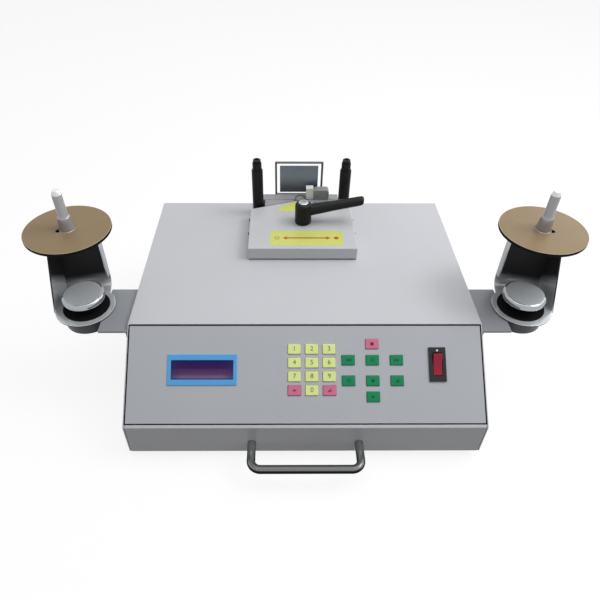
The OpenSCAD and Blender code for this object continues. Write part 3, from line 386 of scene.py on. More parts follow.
def set_out(tree, given, out, shape):
    """One shape on each point, turned along the point's facing; real mesh, with its finish."""
    along = add_node(tree, "GeometryNodeInputNamedAttribute", {"Name": "facing"},
                     data_type="FLOAT_VECTOR").outputs["Attribute"]
    turn = add_node(tree, "FunctionNodeAlignRotationToVector", {"Vector": along}, axis="Z").outputs[0]
    copies = add_node(tree, "GeometryNodeInstanceOnPoints",
                      {"Points": given["Geometry"], "Instance": shape, "Rotation": turn}).outputs[0]
    real = add_node(tree, "GeometryNodeRealizeInstances", {"Geometry": copies}).outputs[0]
    coated = add_node(tree, "GeometryNodeSetMaterial", {"Geometry": real, "Material": given["Finish"]})
    feed(tree, out, {"Geometry": coated.outputs[0]})


def cylinder(tree, radius, depth, parts):
    """A closed cylinder about Z."""
    return add_node(tree, "GeometryNodeMeshCylinder",
                    {"Vertices": parts, "Radius": radius, "Depth": depth}).outputs["Mesh"]


def cut(tree, body, *tools):
    """The body less the tools."""
    less = add_node(tree, "GeometryNodeMeshBoolean", {"Mesh 1": body}, operation="DIFFERENCE")
    for tool in tools:
        tree.links.new(tool, less.inputs["Mesh 2"])
    return less.outputs["Mesh"]


pan_screw, given, screw_out = geometry_tree("pan_screw", "Head Radius", "Head Height", "Shank Radius",
                                            "Shank Length")
head_parts, shank_parts = 28, 16
rim_share, crown_share, crown_top = 0.55, 0.45, 0.72
recess_long, recess_wide, recess_lift = 1.15, 0.26, 0.95
screw_share = partial(calc, pan_screw, "MULTIPLY")
rim_height = screw_share(given["Head Height"], rim_share)
head = cylinder(pan_screw, given["Head Radius"], rim_height, head_parts)
crown = add_node(pan_screw, "GeometryNodeMeshCone",
                 {"Vertices": head_parts, "Radius Bottom": given["Head Radius"],
                  "Radius Top": screw_share(given["Head Radius"], crown_top),
                  "Depth": screw_share(given["Head Height"], crown_share)}).outputs["Mesh"]
recess_size = add_node(pan_screw, "ShaderNodeCombineXYZ",
                       {"X": screw_share(given["Head Radius"], recess_long),
                        "Y": screw_share(given["Head Radius"], recess_wide),
                        "Z": given["Head Height"]}).outputs[0]
recess = add_node(pan_screw, "GeometryNodeMeshCube", {"Size": recess_size}).outputs["Mesh"]
recess_height = screw_share(given["Head Height"], recess_lift)
topped = cut(pan_screw, moved(pan_screw, crown, rim_height), moved(pan_screw, recess, recess_height, turn=45),
             moved(pan_screw, recess, recess_height, turn=135))
shank = moved(pan_screw, cylinder(pan_screw, given["Shank Radius"], given["Shank Length"], shank_parts),
              screw_share(given["Shank Length"], -0.5))
set_out(pan_screw, given, screw_out,
        joined(pan_screw, moved(pan_screw, head, screw_share(rim_height, 0.5)), topped, shank))

hex_nut, given, nut_out = geometry_tree("hex_nut", "Radius", "Height", "Bore")
nut_share = partial(calc, hex_nut, "MULTIPLY")
hexagon = cylinder(hex_nut, given["Radius"], given["Height"], parts=6)
nut_bore = cylinder(hex_nut, given["Bore"], nut_share(given["Height"], 2.0), parts=20)
set_out(hex_nut, given, nut_out,
        moved(hex_nut, cut(hex_nut, hexagon, nut_bore), nut_share(given["Height"], 0.5)))


def on_points(name, tree, points, finish, **sizes):
    """Runs a tree on points, given as (place, facing), and gives its plain mesh."""
    mesh = bpy.data.meshes.new(name)
    mesh.from_pydata([place for place, facing in points], [], [])
    directions = mesh.attributes.new("facing", "FLOAT_VECTOR", "POINT")
    directions.data.foreach_set("vector", [c for place, facing in points for c in facing])
    holder = as_piece(name, mesh)
    modifier = holder.modifiers.new(name, "NODES")
    modifier.node_group = tree
    values = {"Finish": finish, **{size.replace("_", " ").title(): value for size, value in sizes.items()}}
    for socket in tree.interface.items_tree:
        if socket.in_out == "INPUT" and socket.name in values:
            modifier[socket.identifier] = values[socket.name]
    return evaluated(holder)


def one_mesh(name, meshes):
    """These meshes as one, with their finishes kept."""
    finishes = []
    bm = bmesh.new()
    for mesh in meshes:
        start = len(bm.faces)
        slots = []
        for finish in mesh.materials:
            if finish not in finishes:
                finishes.append(finish)
            slots.append(finishes.index(finish))
        bm.from_mesh(mesh)
        bm.faces.ensure_lookup_table()
        for face in bm.faces[start:]:
            face.material_index = slots[min(face.material_index, len(slots) - 1)] if slots else 0
    return dressed(as_mesh(bm, name), *finishes)


zinc = satin_finish("zinc", tint(176, 178, 182), grain=1500.0, cloud=60.0, tone=0.2, gloss=(0.24, 0.42),
                    bump=0.03, metallic=1.0)
hardware = [on_points("screws_" + name, pan_screw, places, zinc, **sizes)
            for name, (sizes, places) in screw_sets.items()]
hardware += [on_points("nuts_" + name, hex_nut, places, zinc, **sizes)
             for name, (sizes, places) in nut_sets.items()]
stands_for(as_piece("screw_set", smooth(one_mesh("screw_set", hardware), angle=30)), "machine_screws")

# Circuit boards: green laminate with a few parts on it, for the keys, the display and the motors.
# They sit on pillars under the panel and on the tray's bottom, out of sight.
laminate = satin_finish("laminate", tint(34, 96, 58), grain=300.0, cloud=80.0, tone=0.5, gloss=(0.3, 0.5))
shown("motor_board", "main_board", laminate, rounding=0.0002, steps=1)
shown("key_board", "keypad_board", laminate, rounding=0.0002, steps=1)
shown("display_board", "lcd_board", laminate, rounding=0.0002, steps=1)

# Power supply: a folded aluminium case with slots in its lid, screwed to the tray's bottom.
# It is seen only through the cooling slots in the rear wall.
case_metal = satin_finish("case_metal", tint(170, 172, 175), grain=700.0, cloud=30.0, tone=0.15,
                          gloss=(0.3, 0.45), metallic=1.0)
shown("supply_case", "power_supply", case_metal, rounding=0.0006)

# Mains inlet: a black moulded socket with three blades, clipped into the rear wall from outside.
# Two screws hold its flange.
inlet_plastic = satin_finish("inlet_plastic", tint(38, 38, 40), grain=1200.0, tone=0.1, gloss=(0.5, 0.62))
shown("inlet_socket", "power_inlet", inlet_plastic, rounding=0.0004)

# Top cover: top and both sides, folded from one sheet in the same powder coat as the tray.
# Its lip carries the panel's upper edge, and six screws hold its sides to the tray.
shown("cover_sheet", "top_cover", sheet_grey, rounding=0.0009, steps=3)

# Control panel: a flat steel plate in a darker grey, laid on the lips of cover and tray with a narrow
# slit all round. It has the openings for the display, the keys and the switch.
panel_grey = satin_finish("panel_grey", tint(186, 189, 195))
shown("panel_plate", "control_panel", panel_grey, rounding=0.0003)
panel_rise, panel_run, panel_edge = 0.073, 0.096, (0, -0.06775, 0.1295)
panel_tilt = math.atan2(panel_rise, panel_run)
panel_frame = Matrix.Translation(panel_edge) @ Matrix.Rotation(panel_tilt, 4, "X")


def panel_spot(node):
    """The middle of a node across the panel and up it, and the height of its top over the panel."""
    flat = panel_frame.inverted()
    spots = [flat @ v.co for v in frame["nodes"][node].data.vertices]
    low, high = (Vector(map(pick, zip(*spots))) for pick in (min, max))
    return Vector(((low.x + high.x) / 2, (low.y + high.y) / 2, high.z))


# Slit shade: a black strip laid in the slit round the panel, with a flat bead just over the edges; it is
# painted shade in the slit. It lies on the lips.
slit_shade_half, slit_shade_upper, slit_shade_lower = 0.20815, -0.00115, -0.11655
slit_shade_width, slit_shade_bulge = 0.0009, 0.0002
slit_shade_foot, slit_shade_neck, slit_shade_bead, slit_shade_top = -0.00190, 0.00004, 0.00010, 0.00030
slit_shade_section = [(0, slit_shade_foot), (0, slit_shade_neck), (-slit_shade_bulge, slit_shade_bead), (-slit_shade_bulge, slit_shade_top),
                (slit_shade_width + slit_shade_bulge, slit_shade_top), (slit_shade_width + slit_shade_bulge, slit_shade_bead),
                (slit_shade_width, slit_shade_neck), (slit_shade_width, slit_shade_foot)]


def bridged(bm, low, high):
    """Faces between two rings of points; either can be a single point."""
    count = max(len(low), len(high))
    for i in range(count):
        j = (i + 1) % count
        corners = [low[i % len(low)], low[j % len(low)], high[j % len(high)], high[i % len(high)]]
        bm.faces.new(list(dict.fromkeys(corners)))


def closed_form(bm, name, place):
    """A plain mesh of this closed form, with its faces turned outward, put in place."""
    bmesh.ops.recalc_face_normals(bm, faces=bm.faces)
    bm.transform(place)
    return as_mesh(bm, name)


def goes_with(piece, body):
    """A piece that shows no CAD node moves with this body."""
    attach(piece, body)


bm = bmesh.new()
loops = []
for inset, height in slit_shade_section:
    half, upper, lower = slit_shade_half - inset, slit_shade_upper - inset, slit_shade_lower + inset
    loops.append([bm.verts.new((x, y, height))
                  for x, y in ((-half, upper), (half, upper), (half, lower), (-half, lower))])
for low, high in zip(loops, loops[1:] + loops[:1]):
    bridged(bm, low, high)
shade_black = satin_finish("shade_black", tint(14, 14, 16), grain=900.0, tone=0.15, gloss=(0.7, 0.85),
                          specular_ior_level=0.1)
slit_shade = as_piece("panel_slit_shade", closed_form(bm, "panel_slit_shade", panel_frame), shade_black)
goes_with(slit_shade, node_body["control_panel"])

# Display: a dark glass window in a blue moulded surround that is clipped through the panel.
# The glass shows the faint cells of two rows of sixteen characters.
surround_blue = satin_finish("surround_blue", tint(84, 171, 235), grain=1400.0, cloud=40.0, tone=0.1,
                             gloss=(0.3, 0.42), bump=0.03)
shown("display_surround", "lcd_bezel", surround_blue, rounding=0.0005, steps=3)


def split(tree, vector):
    """A vector's X, Y and Z."""
    return add_node(tree, "ShaderNodeSeparateXYZ", {"Vector": vector}).outputs


def mixed(tree, share, first, second):
    """A colour between two, by a share from 0 to 1."""
    return add_node(tree, "ShaderNodeMix", {0: share, 6: first, 7: second}, data_type="RGBA").outputs[2]


def ramp(tree, value, *stops):
    """A smooth colour ramp over a value from 0 to 1; stops are (position, colour)."""
    node = add_node(tree, "ShaderNodeValToRGB", {"Fac": value})
    band = node.color_ramp
    band.interpolation = "EASE"
    for place, colour in stops[1:-1]:
        band.elements.new(place).color = colour
    for element, (place, colour) in ((band.elements[0], stops[0]), (band.elements[-1], stops[-1])):
        element.position = place
        element.color = colour
    return node.outputs["Color"]


smooth_step = partial(spread, run="SMOOTHSTEP")
display_glass, glass_tree, glass_shader = new_finish("display_glass")
glass_calc = partial(calc, glass_tree)
glass_middle = panel_frame @ panel_spot("lcd_glass")
on_glass = add_node(glass_tree, "ShaderNodeMapping",
                    {"Vector": on_piece(glass_tree)["Object"], "Location": glass_middle,
                     "Rotation": (panel_tilt, 0, 0)}, vector_type="TEXTURE").outputs[0]
across, up_glass, _ = split(glass_tree, on_glass)


def cell_mask(place, pitch, cell, count):
    """1 inside the cells of a row that is centred on 0."""
    step = glass_calc("FRACT", glass_calc("MULTIPLY_ADD", place, 1 / pitch, count / 2))
    inside = glass_calc("COMPARE", step, 0.5, cell / pitch / 2)
    within = glass_calc("COMPARE", place, 0.0, pitch * count / 2)
    return glass_calc("MULTIPLY", inside, within)


cells = glass_calc("MULTIPLY", cell_mask(across, pitch=0.0038, cell=0.0031, count=16),
                   cell_mask(up_glass, pitch=0.0071, cell=0.0058, count=2))
window_height, ends_from, ends_to, ends_share = 0.0225, 0.022, 0.036, 0.55
cell_share, glass_dull, cell_dull = 0.16, 0.16, 0.06
dyed = ramp(glass_tree, glass_calc("MULTIPLY_ADD", up_glass, 1 / window_height, 0.5),
            (0.0, tint(40, 44, 92)), (0.10, tint(122, 98, 138)), (0.34, tint(96, 62, 112)),
            (0.66, tint(60, 22, 86)), (0.90, tint(30, 26, 92)), (1.0, tint(20, 30, 92)))
ends = smooth_step(glass_tree, glass_calc("ABSOLUTE", across), ends_from, ends_to, most=ends_share)
ended = mixed(glass_tree, ends, dyed, tint(40, 44, 104))
celled = mixed(glass_tree, glass_calc("MULTIPLY", cells, cell_share), ended, tint(24, 18, 60))
feed(glass_tree, glass_shader, {"Base Color": celled,
                                "Roughness": glass_calc("MULTIPLY_ADD", cells, cell_dull, glass_dull)})
set_sockets(glass_shader, {"specular_ior_level": 0.12})
shown("display_window", "lcd_glass", display_glass, rounding=0.0002)

# Keys: twelve pad keys and eight function keys, moulded in yellow, red and green, held by a flange
# below the panel. Each carries a plain numeral or a simple sign, printed on its top.
key_colours = {"key_yellow": tint(237, 248, 165), "key_red": tint(219, 122, 154),
               "key_green": tint(18, 138, 90)}
key_finishes = {slot: satin_finish("moulded_" + slot, colour, grain=1600.0, cloud=90.0, tone=0.1,
                                   gloss=(0.34, 0.46), edge=0.25, bump=0.04, specular_ior_level=0.25)
                for slot, colour in key_colours.items()}
print_colours = {"key_yellow": tint(82, 86, 40), "key_red": tint(112, 36, 58), "key_green": tint(10, 82, 58)}
key_prints = {slot: satin_finish("print_" + slot, colour, grain=2500.0, tone=0.2, gloss=(0.5, 0.6), bump=0.0,
                                 specular_ior_level=0.2)
              for slot, colour in print_colours.items()}
print_height, sign_size, numeral_size = 0.00006, 0.0042, 0.0078
numeral_lift = (0, 0.0004, print_height / 2)


def bar_outline(x0, y0, x1, y1):
    """The outline of an upright bar."""
    return [(x0, y0), (x1, y0), (x1, y1), (x0, y1)]


triangle = [(-0.45, -0.5), (0.45, 0.0), (-0.45, 0.5)]
key_signs = {
    "key_stop": [bar_outline(-0.45, -0.45, 0.45, 0.45)],
    "key_start": [triangle],
    "key_wind": [[(x * 0.8 + shift, y) for x, y in triangle] for shift in (-0.4, 0.35)],
    "key_rewind": [[(shift - x * 0.8, -y) for x, y in triangle] for shift in (0.4, -0.35)],
    "key_pause": [bar_outline(x - 0.13, -0.5, x + 0.13, 0.5) for x in (-0.28, 0.28)],
    "key_preset": [bar_outline(-0.5, y - 0.09, 0.5, y + 0.09) for y in (-0.4, 0.0, 0.4)],
    "key_mode": [[(0.5 * math.cos(t * math.pi / 4), 0.5 * math.sin(t * math.pi / 4)) for t in range(8)]],
    "key_speed": [bar_outline(x - 0.14, -0.5, x + 0.14, top)
                  for x, top in ((-0.36, -0.1), (0.0, 0.2), (0.36, 0.5))],
    "key_clear": [[(-0.5, 0.0), (0.0, -0.42), (0.0, -0.14), (0.5, -0.14), (0.5, 0.14), (0.0, 0.14),
                   (0.0, 0.42)]],
    "key_enter": [[(-0.5, -0.2), (-0.1, -0.55), (-0.1, -0.34), (0.5, -0.34), (0.5, 0.45), (0.24, 0.45),
                   (0.24, -0.06), (-0.1, -0.06), (-0.1, 0.15)]],
}


def printed_outlines(name, outlines, place, size=1.0, height=print_height):
    """Flat closed plates from outlines, scaled and put in place; as thin as print, or of another height."""
    bm = bmesh.new()
    for outline in outlines:
        face = bm.faces.new([bm.verts.new((x * size, y * size, 0)) for x, y in outline])
        raised = bmesh.ops.extrude_face_region(bm, geom=[face])
        bmesh.ops.translate(bm, vec=(0, 0, height),
                            verts=[v for v in raised["geom"] if isinstance(v, bmesh.types.BMVert)])
    return closed_form(bm, name, place)


def printed_numeral(name, numeral, place):
    """A printed numeral as a plain mesh of print height."""
    letter = bpy.data.curves.new(name, "FONT")
    letter.body = numeral
    letter.size = numeral_size
    letter.align_x = letter.align_y = "CENTER"
    letter.extrude = print_height / 2
    letter.resolution_u = 3
    mesh = with_modifiers(name, letter)
    mesh.transform(place)
    return mesh


for node, slot in node_slot.items():
    if not slot.startswith("key_"):
        continue
    label = node.removeprefix("key_")
    cap = dressed(softened("cap_" + label, node, rounding=0.0007, steps=3), key_finishes[slot])
    key_top = panel_frame @ Matrix.Translation(panel_spot(node))
    if node in key_signs:
        mark = printed_outlines("mark_" + label, key_signs[node], key_top, sign_size)
    else:
        mark = printed_numeral("mark_" + label, label, key_top @ Matrix.Translation(numeral_lift))
    key = one_mesh("cap_" + label, [cap, dressed(mark, key_prints[slot])])
    stands_for(as_piece("cap_" + label, smooth(key, angle=40)), node)

# Mains switch: a glossy black snap-in housing with a red rocker on a pin. A white dot is moulded into
# the housing's upper end.
switch_plastic = satin_finish("switch_plastic", tint(30, 32, 35), grain=1400.0, tone=0.1, gloss=(0.22, 0.34),
                              bump=0.02, specular_ior_level=0.3)
# The rocker's rounded edges are strongly lightened (edge 0.8): a painted highlight.
rocker_plastic = satin_finish("rocker_plastic", tint(158, 18, 48), grain=1400.0, tone=0.12,
                              gloss=(0.14, 0.24), edge=0.8, bump=0.02, specular_ior_level=0.35)
dot_white = satin_finish("dot_white", tint(236, 236, 236), grain=1400.0, tone=0.05, gloss=(0.3, 0.4),
                         bump=0.02)
dot_across, dot_up, dot_sunk = 0.1541, -0.0319, 0.0001
dot_profile = [(0, 0), (0.0012, 0), (0.0012, 0.0002), (0.0007, 0.0004), (0, 0.00045)]


def ring_of(bm, segments, height, radius):
    """A level ring of points about Z, or a single point on Z."""
    turns = [2 * math.pi * i / segments for i in range(segments)] if radius else [0.0]
    return [bm.verts.new((radius * math.cos(turn), radius * math.sin(turn), height)) for turn in turns]


def turned(name, profile, place, segments=48):
    """A closed turned form from (radius, height) pairs, from its bottom to its top, on an axis along Z."""
    bm = bmesh.new()
    rings = [ring_of(bm, segments, height, radius) for radius, height in profile]
    for low, high in zip(rings, rings[1:]):
        bridged(bm, low, high)
    return smooth(closed_form(bm, name, place))


housing = dressed(softened("switch_frame", "switch_housing", rounding=0.0006, steps=3), switch_plastic)
dot_spot = Vector((dot_across, dot_up, panel_spot("switch_housing").z - dot_sunk))
dot = turned("switch_dot", dot_profile, panel_frame @ Matrix.Translation(dot_spot), segments=24)
switch_frame = one_mesh("switch_frame", [housing, dressed(dot, dot_white)])
stands_for(as_piece("switch_frame", smooth(switch_frame, angle=40)), "switch_housing")
shown("rocker_key", "switch_rocker", rocker_plastic, rounding=0.0006, steps=3)

# Front handle: a bright plated steel bar, bent twice, with a tapped hole in each end for a screw from
# inside the front face.
handle_radius, handle_bend, handle_root, handle_front = 0.005, 0.011, -0.16375, -0.19975
quarter = [math.radians(a) for a in range(0, 91, 6)]
handle_side = [(handle_half, handle_root, handle_height)] + [
    (handle_half - handle_bend + handle_bend * math.cos(a),
     handle_front + handle_bend - handle_bend * math.sin(a), handle_height) for a in quarter]
handle_line = [(-x, y, z) for x, y, z in handle_side] + handle_side[::-1]
bar = bpy.data.curves.new("handle_bar", "CURVE")
bar.dimensions = "3D"
bar.bevel_depth = handle_radius
bar.bevel_resolution = 10
bar.use_fill_caps = True
line = bar.splines.new("POLY")
line.points.add(len(handle_line) - 1)
for point, spot in zip(line.points, handle_line):
    point.co = (*spot, 1)
plated = satin_finish("plated", tint(120, 121, 122), grain=260.0, cloud=45.0, tone=0.08, gloss=(0.1, 0.16),
                      bump=0.01, metallic=0.75, specular_tint=(0.3, 0.3, 0.3, 1.0))
plated_tree = plated.node_tree
# The bar's colour is a painted reflection: dark bands where its faces turn down, a bright band just below the
# top, and an even grey along the legs.
plated_up = split(plated_tree, on_piece(plated_tree)["Normal"])["Z"]
painted_reflection_bands = ramp(plated_tree, calc(plated_tree, "MULTIPLY_ADD", plated_up, 0.5, 0.5),
                    (0.58, tint(7, 8, 8)), (0.72, tint(20, 21, 21)), (0.81, tint(80, 82, 81)),
                    (0.88, tint(140, 142, 142)), (0.94, tint(112, 114, 114)), (1.0, tint(84, 86, 87)))
leg_from, leg_to, leg_reflection_share = handle_front + handle_bend, handle_root - 0.008, 0.9
plated_along = split(plated_tree, on_piece(plated_tree)["Object"])["Y"]
leg_painted_reflection = smooth_step(plated_tree, plated_along, leg_from, leg_to, most=leg_reflection_share)
feed(plated_tree, plated_tree.nodes["Principled BSDF"],
     {"Base Color": mixed(plated_tree, leg_painted_reflection, painted_reflection_bands, tint(150, 152, 153))})
stands_for(as_piece("handle_bar", smooth(with_modifiers("handle_bar", bar)), plated), "front_handle")

# Arms: a thick grey plate on each side, bent down along the body, where four screws hold it.
# A broad dark boss below its end guides the clamp stud.
boss_from, boss_below = 0.2384, 0.1198
arm_grey = satin_finish("arm_grey", tint(148, 151, 156), gloss=(0.34, 0.48))
arm_tree = arm_grey.node_tree
arm_shader = arm_tree.nodes["Principled BSDF"]
arm_calc = partial(calc, arm_tree)
arm_x, _, arm_up = split(arm_tree, on_piece(arm_tree)["Object"])
on_boss = arm_calc("MULTIPLY", arm_calc("GREATER_THAN", arm_calc("ABSOLUTE", arm_x), boss_from),
                   arm_calc("LESS_THAN", arm_up, boss_below))
arm_paint = arm_shader.inputs["Base Color"].links[0].from_socket
feed(arm_tree, arm_shader, {"Base Color": mixed(arm_tree, on_boss, arm_paint, tint(62, 64, 67))})
for side in sides:
    shown("arm_plate_" + side, "arm_" + side, arm_grey, rounding=0.0006)

# Brackets: satin stainless sheet, bent into a C with a cheek on the outer side. The clamp knob holds
# the lower plate on the arm, so that the holder can be swivelled. Above its bend the wall's and cheek's inner
# faces carry a painted dark reflection; its faces have painted lit and shaded tones, painted highlights on
# the rounded edges and painted shade on the plate's cut edge.
bracket_middle, flange_end, bend_run, plate_foot = 0.270, -0.0215, (-0.020, 0.034), 0.1248
wall_facing, wall_slope, wall_band = (0.2, 0.6), 0.197, (0.1285, 0.1450)
cheek_facing, cheek_slope, cheek_band = (0.6, 0.9), 0.777, (0.133, 0.152)
level_facing, cut_facing, edge_highlight_share = (0.75, 0.97), 0.3, 0.8
bright_metal, reflection_metal, steel_dull, roll_dull, reflection_dull = 0.35, 0.10, 0.14, 0.05, 0.4
bracket_steel, steel_tree, steel_shader = new_finish("bracket_steel")
steel_calc, steel_mix, steel_step = (partial(make, steel_tree) for make in (calc, mixed, smooth_step))
on_steel = on_piece(steel_tree)
steel_x, steel_y, steel_z = split(steel_tree, on_steel["Object"])
facing_x, facing_y, facing_z = split(steel_tree, on_steel["Normal"])
# Above the bend, the inner faces of wall and cheek get a painted dark reflection that fades in over a sloping
# band.
outward = steel_calc("SUBTRACT", steel_calc("ABSOLUTE", steel_x), bracket_middle)
inward_faced = steel_calc("MULTIPLY", steel_calc("SIGN", steel_x), steel_calc("MULTIPLY", facing_x, -1.0))
on_cheek = steel_step(inward_faced, *cheek_facing)
on_wall = steel_step(steel_calc("MULTIPLY", facing_y, -1.0), *wall_facing)
wall_dark_reflection = steel_step(steel_calc("MULTIPLY_ADD", outward, wall_slope, steel_z), *wall_band)
cheek_dark_reflection = steel_step(steel_calc("MULTIPLY_ADD", steel_y, cheek_slope, steel_z), *cheek_band)
sides_dark_reflection = steel_calc("MAXIMUM", steel_calc("MULTIPLY", on_wall, wall_dark_reflection),
                        steel_calc("MULTIPLY", on_cheek, cheek_dark_reflection))
painted_dark_reflection = steel_calc("MULTIPLY", steel_calc("GREATER_THAN", outward, flange_end), sides_dark_reflection)
roll_lines = add_node(steel_tree, "ShaderNodeMapping",
                      {"Vector": on_steel["Object"], "Scale": (30, 30, 900)}).outputs[0]
rolled = noise(steel_tree, roll_lines, scale=1.0, detail=2.0)
# Bend, cheek and level faces get painted lit and shaded tones; rounded edges a painted highlight, the plate's
# cut edge painted shade.
bend_painted_shade = steel_mix(steel_step(outward, *bend_run), tint(226, 229, 231), tint(186, 189, 191))
level_painted_light = steel_mix(rolled, tint(202, 205, 207), tint(214, 217, 219))
side_painted_shading = steel_mix(on_cheek, bend_painted_shade, tint(230, 233, 235))
steel_painted_shading = steel_mix(steel_step(facing_z, *level_facing), side_painted_shading, level_painted_light)
painted_edge_highlight = steel_calc("MULTIPLY", rounded_edge(steel_tree), edge_highlight_share)
steel_lit = steel_mix(painted_edge_highlight, steel_painted_shading, tint(236, 238, 240))
painted_cut_shade = steel_calc("MULTIPLY", steel_calc("LESS_THAN", steel_z, plate_foot),
                      steel_calc("LESS_THAN", facing_z, cut_facing))
steel_with_cut_shade = steel_mix(painted_cut_shade, steel_lit, tint(58, 60, 62))
steel_metal = steel_calc("MULTIPLY_ADD", painted_dark_reflection, reflection_metal - bright_metal, bright_metal)
steel_gloss = steel_calc("MULTIPLY_ADD", rolled, roll_dull, steel_dull)
feed(steel_tree, steel_shader, {"Base Color": steel_mix(painted_dark_reflection, steel_with_cut_shade, tint(46, 46, 48)),
                                "Metallic": steel_metal,
                                "Roughness": steel_calc("MULTIPLY_ADD", painted_dark_reflection, reflection_dull, steel_gloss)})
set_sockets(steel_shader, {"specular_ior_level": 0.2})
for side in sides:
    shown("bracket_sheet_" + side, "bracket_" + side, bracket_steel, rounding=0.0004)

# Clamp knobs: a bright turned cap on a short black neck, over a steel stud through bracket and arm.
# The cap's top is satin and its rounded rim is polished; a thin black disc round the neck's foot is painted
# shade and dark reflection under the knob.
knob_low, knob_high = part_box("clamp_knob_right")
knob_axis = (knob_low + knob_high) / 2
cap_radius = (knob_high.x - knob_low.x) / 2
cap_height, cap_rim, cap_dish, dish_slope = 0.010, 0.004, 0.0004, 0.0022
neck_height, neck_radius, stud_radius, stud_chamfer = 0.011, 0.010, 0.005, 0.0006
turned_edge, overlap = 0.0004, 0.0005
cap_top = knob_high.z
cap_foot = cap_top - cap_height
knob_foot = cap_foot - neck_height

turned_rings, given, rings_out = group_tree(
    "turned_rings", "ShaderNodeTree", {"Axis": "Vector", "Pitch": "Float", "Low": "Float", "High": "Float"},
    {"Roughness": "Float", "Height": "Float", "Upward": "Float", "Radius": "Float"})
rings_calc, rings_split = partial(calc, turned_rings), partial(split, turned_rings)
on_rings = on_piece(turned_rings)
rings_x, rings_y, rings_z = rings_split(on_rings["Object"])
axis_x, axis_y, _ = rings_split(given["Axis"])
off_x = rings_calc("SUBTRACT", rings_calc("ABSOLUTE", rings_x), axis_x)
off_y = rings_calc("SUBTRACT", rings_y, axis_y)
from_axis = rings_calc("SQRT", rings_calc("ADD", rings_calc("MULTIPLY", off_x, off_x),
                                          rings_calc("MULTIPLY", off_y, off_y)))
tool_path = add_node(turned_rings, "ShaderNodeCombineXYZ", {"X": from_axis, "Y": rings_z}).outputs[0]
marks = noise(turned_rings, tool_path, given["Pitch"], detail=1.0)
ring_gloss = spread(turned_rings, marks, 0.3, 0.7, given["Low"], given["High"])
feed(turned_rings, rings_out, {"Roughness": ring_gloss, "Height": marks, "Radius": from_axis,
                               "Upward": rings_split(on_rings["Normal"])["Z"]})


def turned_finish(name, axis, colours, pitch=2200.0, gloss=(0.18, 0.3), flat_gloss=0.0, flat_metal=1.0,
                  flat_tone=None, flat_above=None, bump=0.05, **shader_sockets):
    """Fine tool rings about an axis; level faces, and all above a height, can differ in gloss and colour."""
    nearly_level = 0.97
    finish, tree, shader = new_finish(name)
    rings = add_node(tree, "ShaderNodeGroup",
                     {"Axis": axis, "Pitch": pitch, "Low": gloss[0], "High": gloss[1]},
                     node_tree=turned_rings).outputs
    colour = mixed(tree, rings["Height"], *colours)
    flat = calc(tree, "GREATER_THAN", rings["Upward"], nearly_level)
    if flat_above:
        height = split(tree, on_piece(tree)["Object"])["Z"]
        flat = calc(tree, "MAXIMUM", flat, calc(tree, "GREATER_THAN", height, flat_above))
    if flat_tone:
        colour = mixed(tree, flat, colour, flat_tone)
    feed(tree, shader, {"Base Color": colour,
                        "Roughness": calc(tree, "MULTIPLY_ADD", flat, flat_gloss, rings["Roughness"]),
                        "Normal": bumped(tree, rings["Height"], bump, distance=0.0002)})
    set_sockets(shader, shader_sockets)
    if flat_metal < 1.0:
        feed(tree, shader, {"Metallic": calc(tree, "MULTIPLY_ADD", flat, flat_metal - 1.0, 1.0)})
    return finish


def upright(axis, sign=1):
    """The place of a turned form on this axis, or on the same axis at the left."""
    return Matrix.Translation((sign * axis.x, axis.y, 0))


cap_bright = turned_finish("cap_bright", knob_axis, (tint(158, 162, 165), tint(172, 176, 179)),
                           gloss=(0.07, 0.13), flat_gloss=0.3, flat_metal=0.25, flat_tone=tint(209, 213, 216),
                           bump=0.03)
neck_black = satin_finish("neck_black", tint(18, 18, 20), tone=0.15, gloss=(0.2, 0.3), specular_ior_level=0.3)
rim_arc = [(cap_radius - cap_rim + cap_rim * math.cos(a), cap_rim * math.sin(a)) for a in quarter[::2]]
cap_profile = ([(0, cap_foot)] + [(r, cap_foot + cap_rim - h) for r, h in rim_arc[::-1]]
               + [(r, cap_top - cap_rim + h) for r, h in rim_arc]
               + [(cap_radius - cap_rim - dish_slope, cap_top - cap_dish), (0, cap_top - cap_dish)])


def pin_outline(radius, foot, top, chamfer):
    """The profile of a plain pin with a chamfer at its foot."""
    return [(0, foot), (radius - chamfer, foot), (radius, foot + chamfer), (radius, top), (0, top)]


neck_profile = pin_outline(neck_radius, knob_foot, cap_foot + overlap, turned_edge)
stud_profile = pin_outline(stud_radius, knob_low.z, knob_foot + overlap, stud_chamfer)
# A thin black disc just below the neck: painted shade and dark reflection under the knob.
shade_disc_radius, shade_disc_bore = 0.0282, stud_radius + 0.0003
shade_disc_foot, shade_disc_top = knob_foot - 0.00028, knob_foot - 0.00004
shade_disc_profile = [(shade_disc_bore, shade_disc_foot), (shade_disc_radius, shade_disc_foot), (shade_disc_radius, shade_disc_top),
                  (shade_disc_bore, shade_disc_top), (shade_disc_bore, shade_disc_foot)]
knob_parts = (("cap", cap_profile, cap_bright), ("neck", neck_profile, neck_black),
              ("stud", stud_profile, zinc))
for side, sign in sides.items():
    axis = upright(knob_axis, sign)
    turnings = [dressed(turned("knob_" + part + "_" + side, profile, axis, segments=72), finish)
                for part, profile, finish in knob_parts]
    stands_for(as_piece("knob_" + side, smooth(one_mesh("knob_" + side, turnings))), "clamp_knob_" + side)
    shade_disc = turned("knob_shade_disc_" + side, shade_disc_profile, axis, segments=72)
    goes_with(as_piece("knob_shade_disc_" + side, shade_disc, shade_black), node_body["bracket_" + side])

# Reel motors: square stepping motors, black, with bare laminations between the end caps. Each hangs
# below its bracket's top plate, with its pilot ring through it.
motor_black = satin_finish("motor_black", tint(18, 18, 20), grain=800.0, cloud=30.0, tone=0.2,
                           gloss=(0.36, 0.5), specular_ior_level=0.2)
for side in sides:
    shown("motor_case_" + side, "reel_motor_" + side, motor_black, rounding=0.0004)

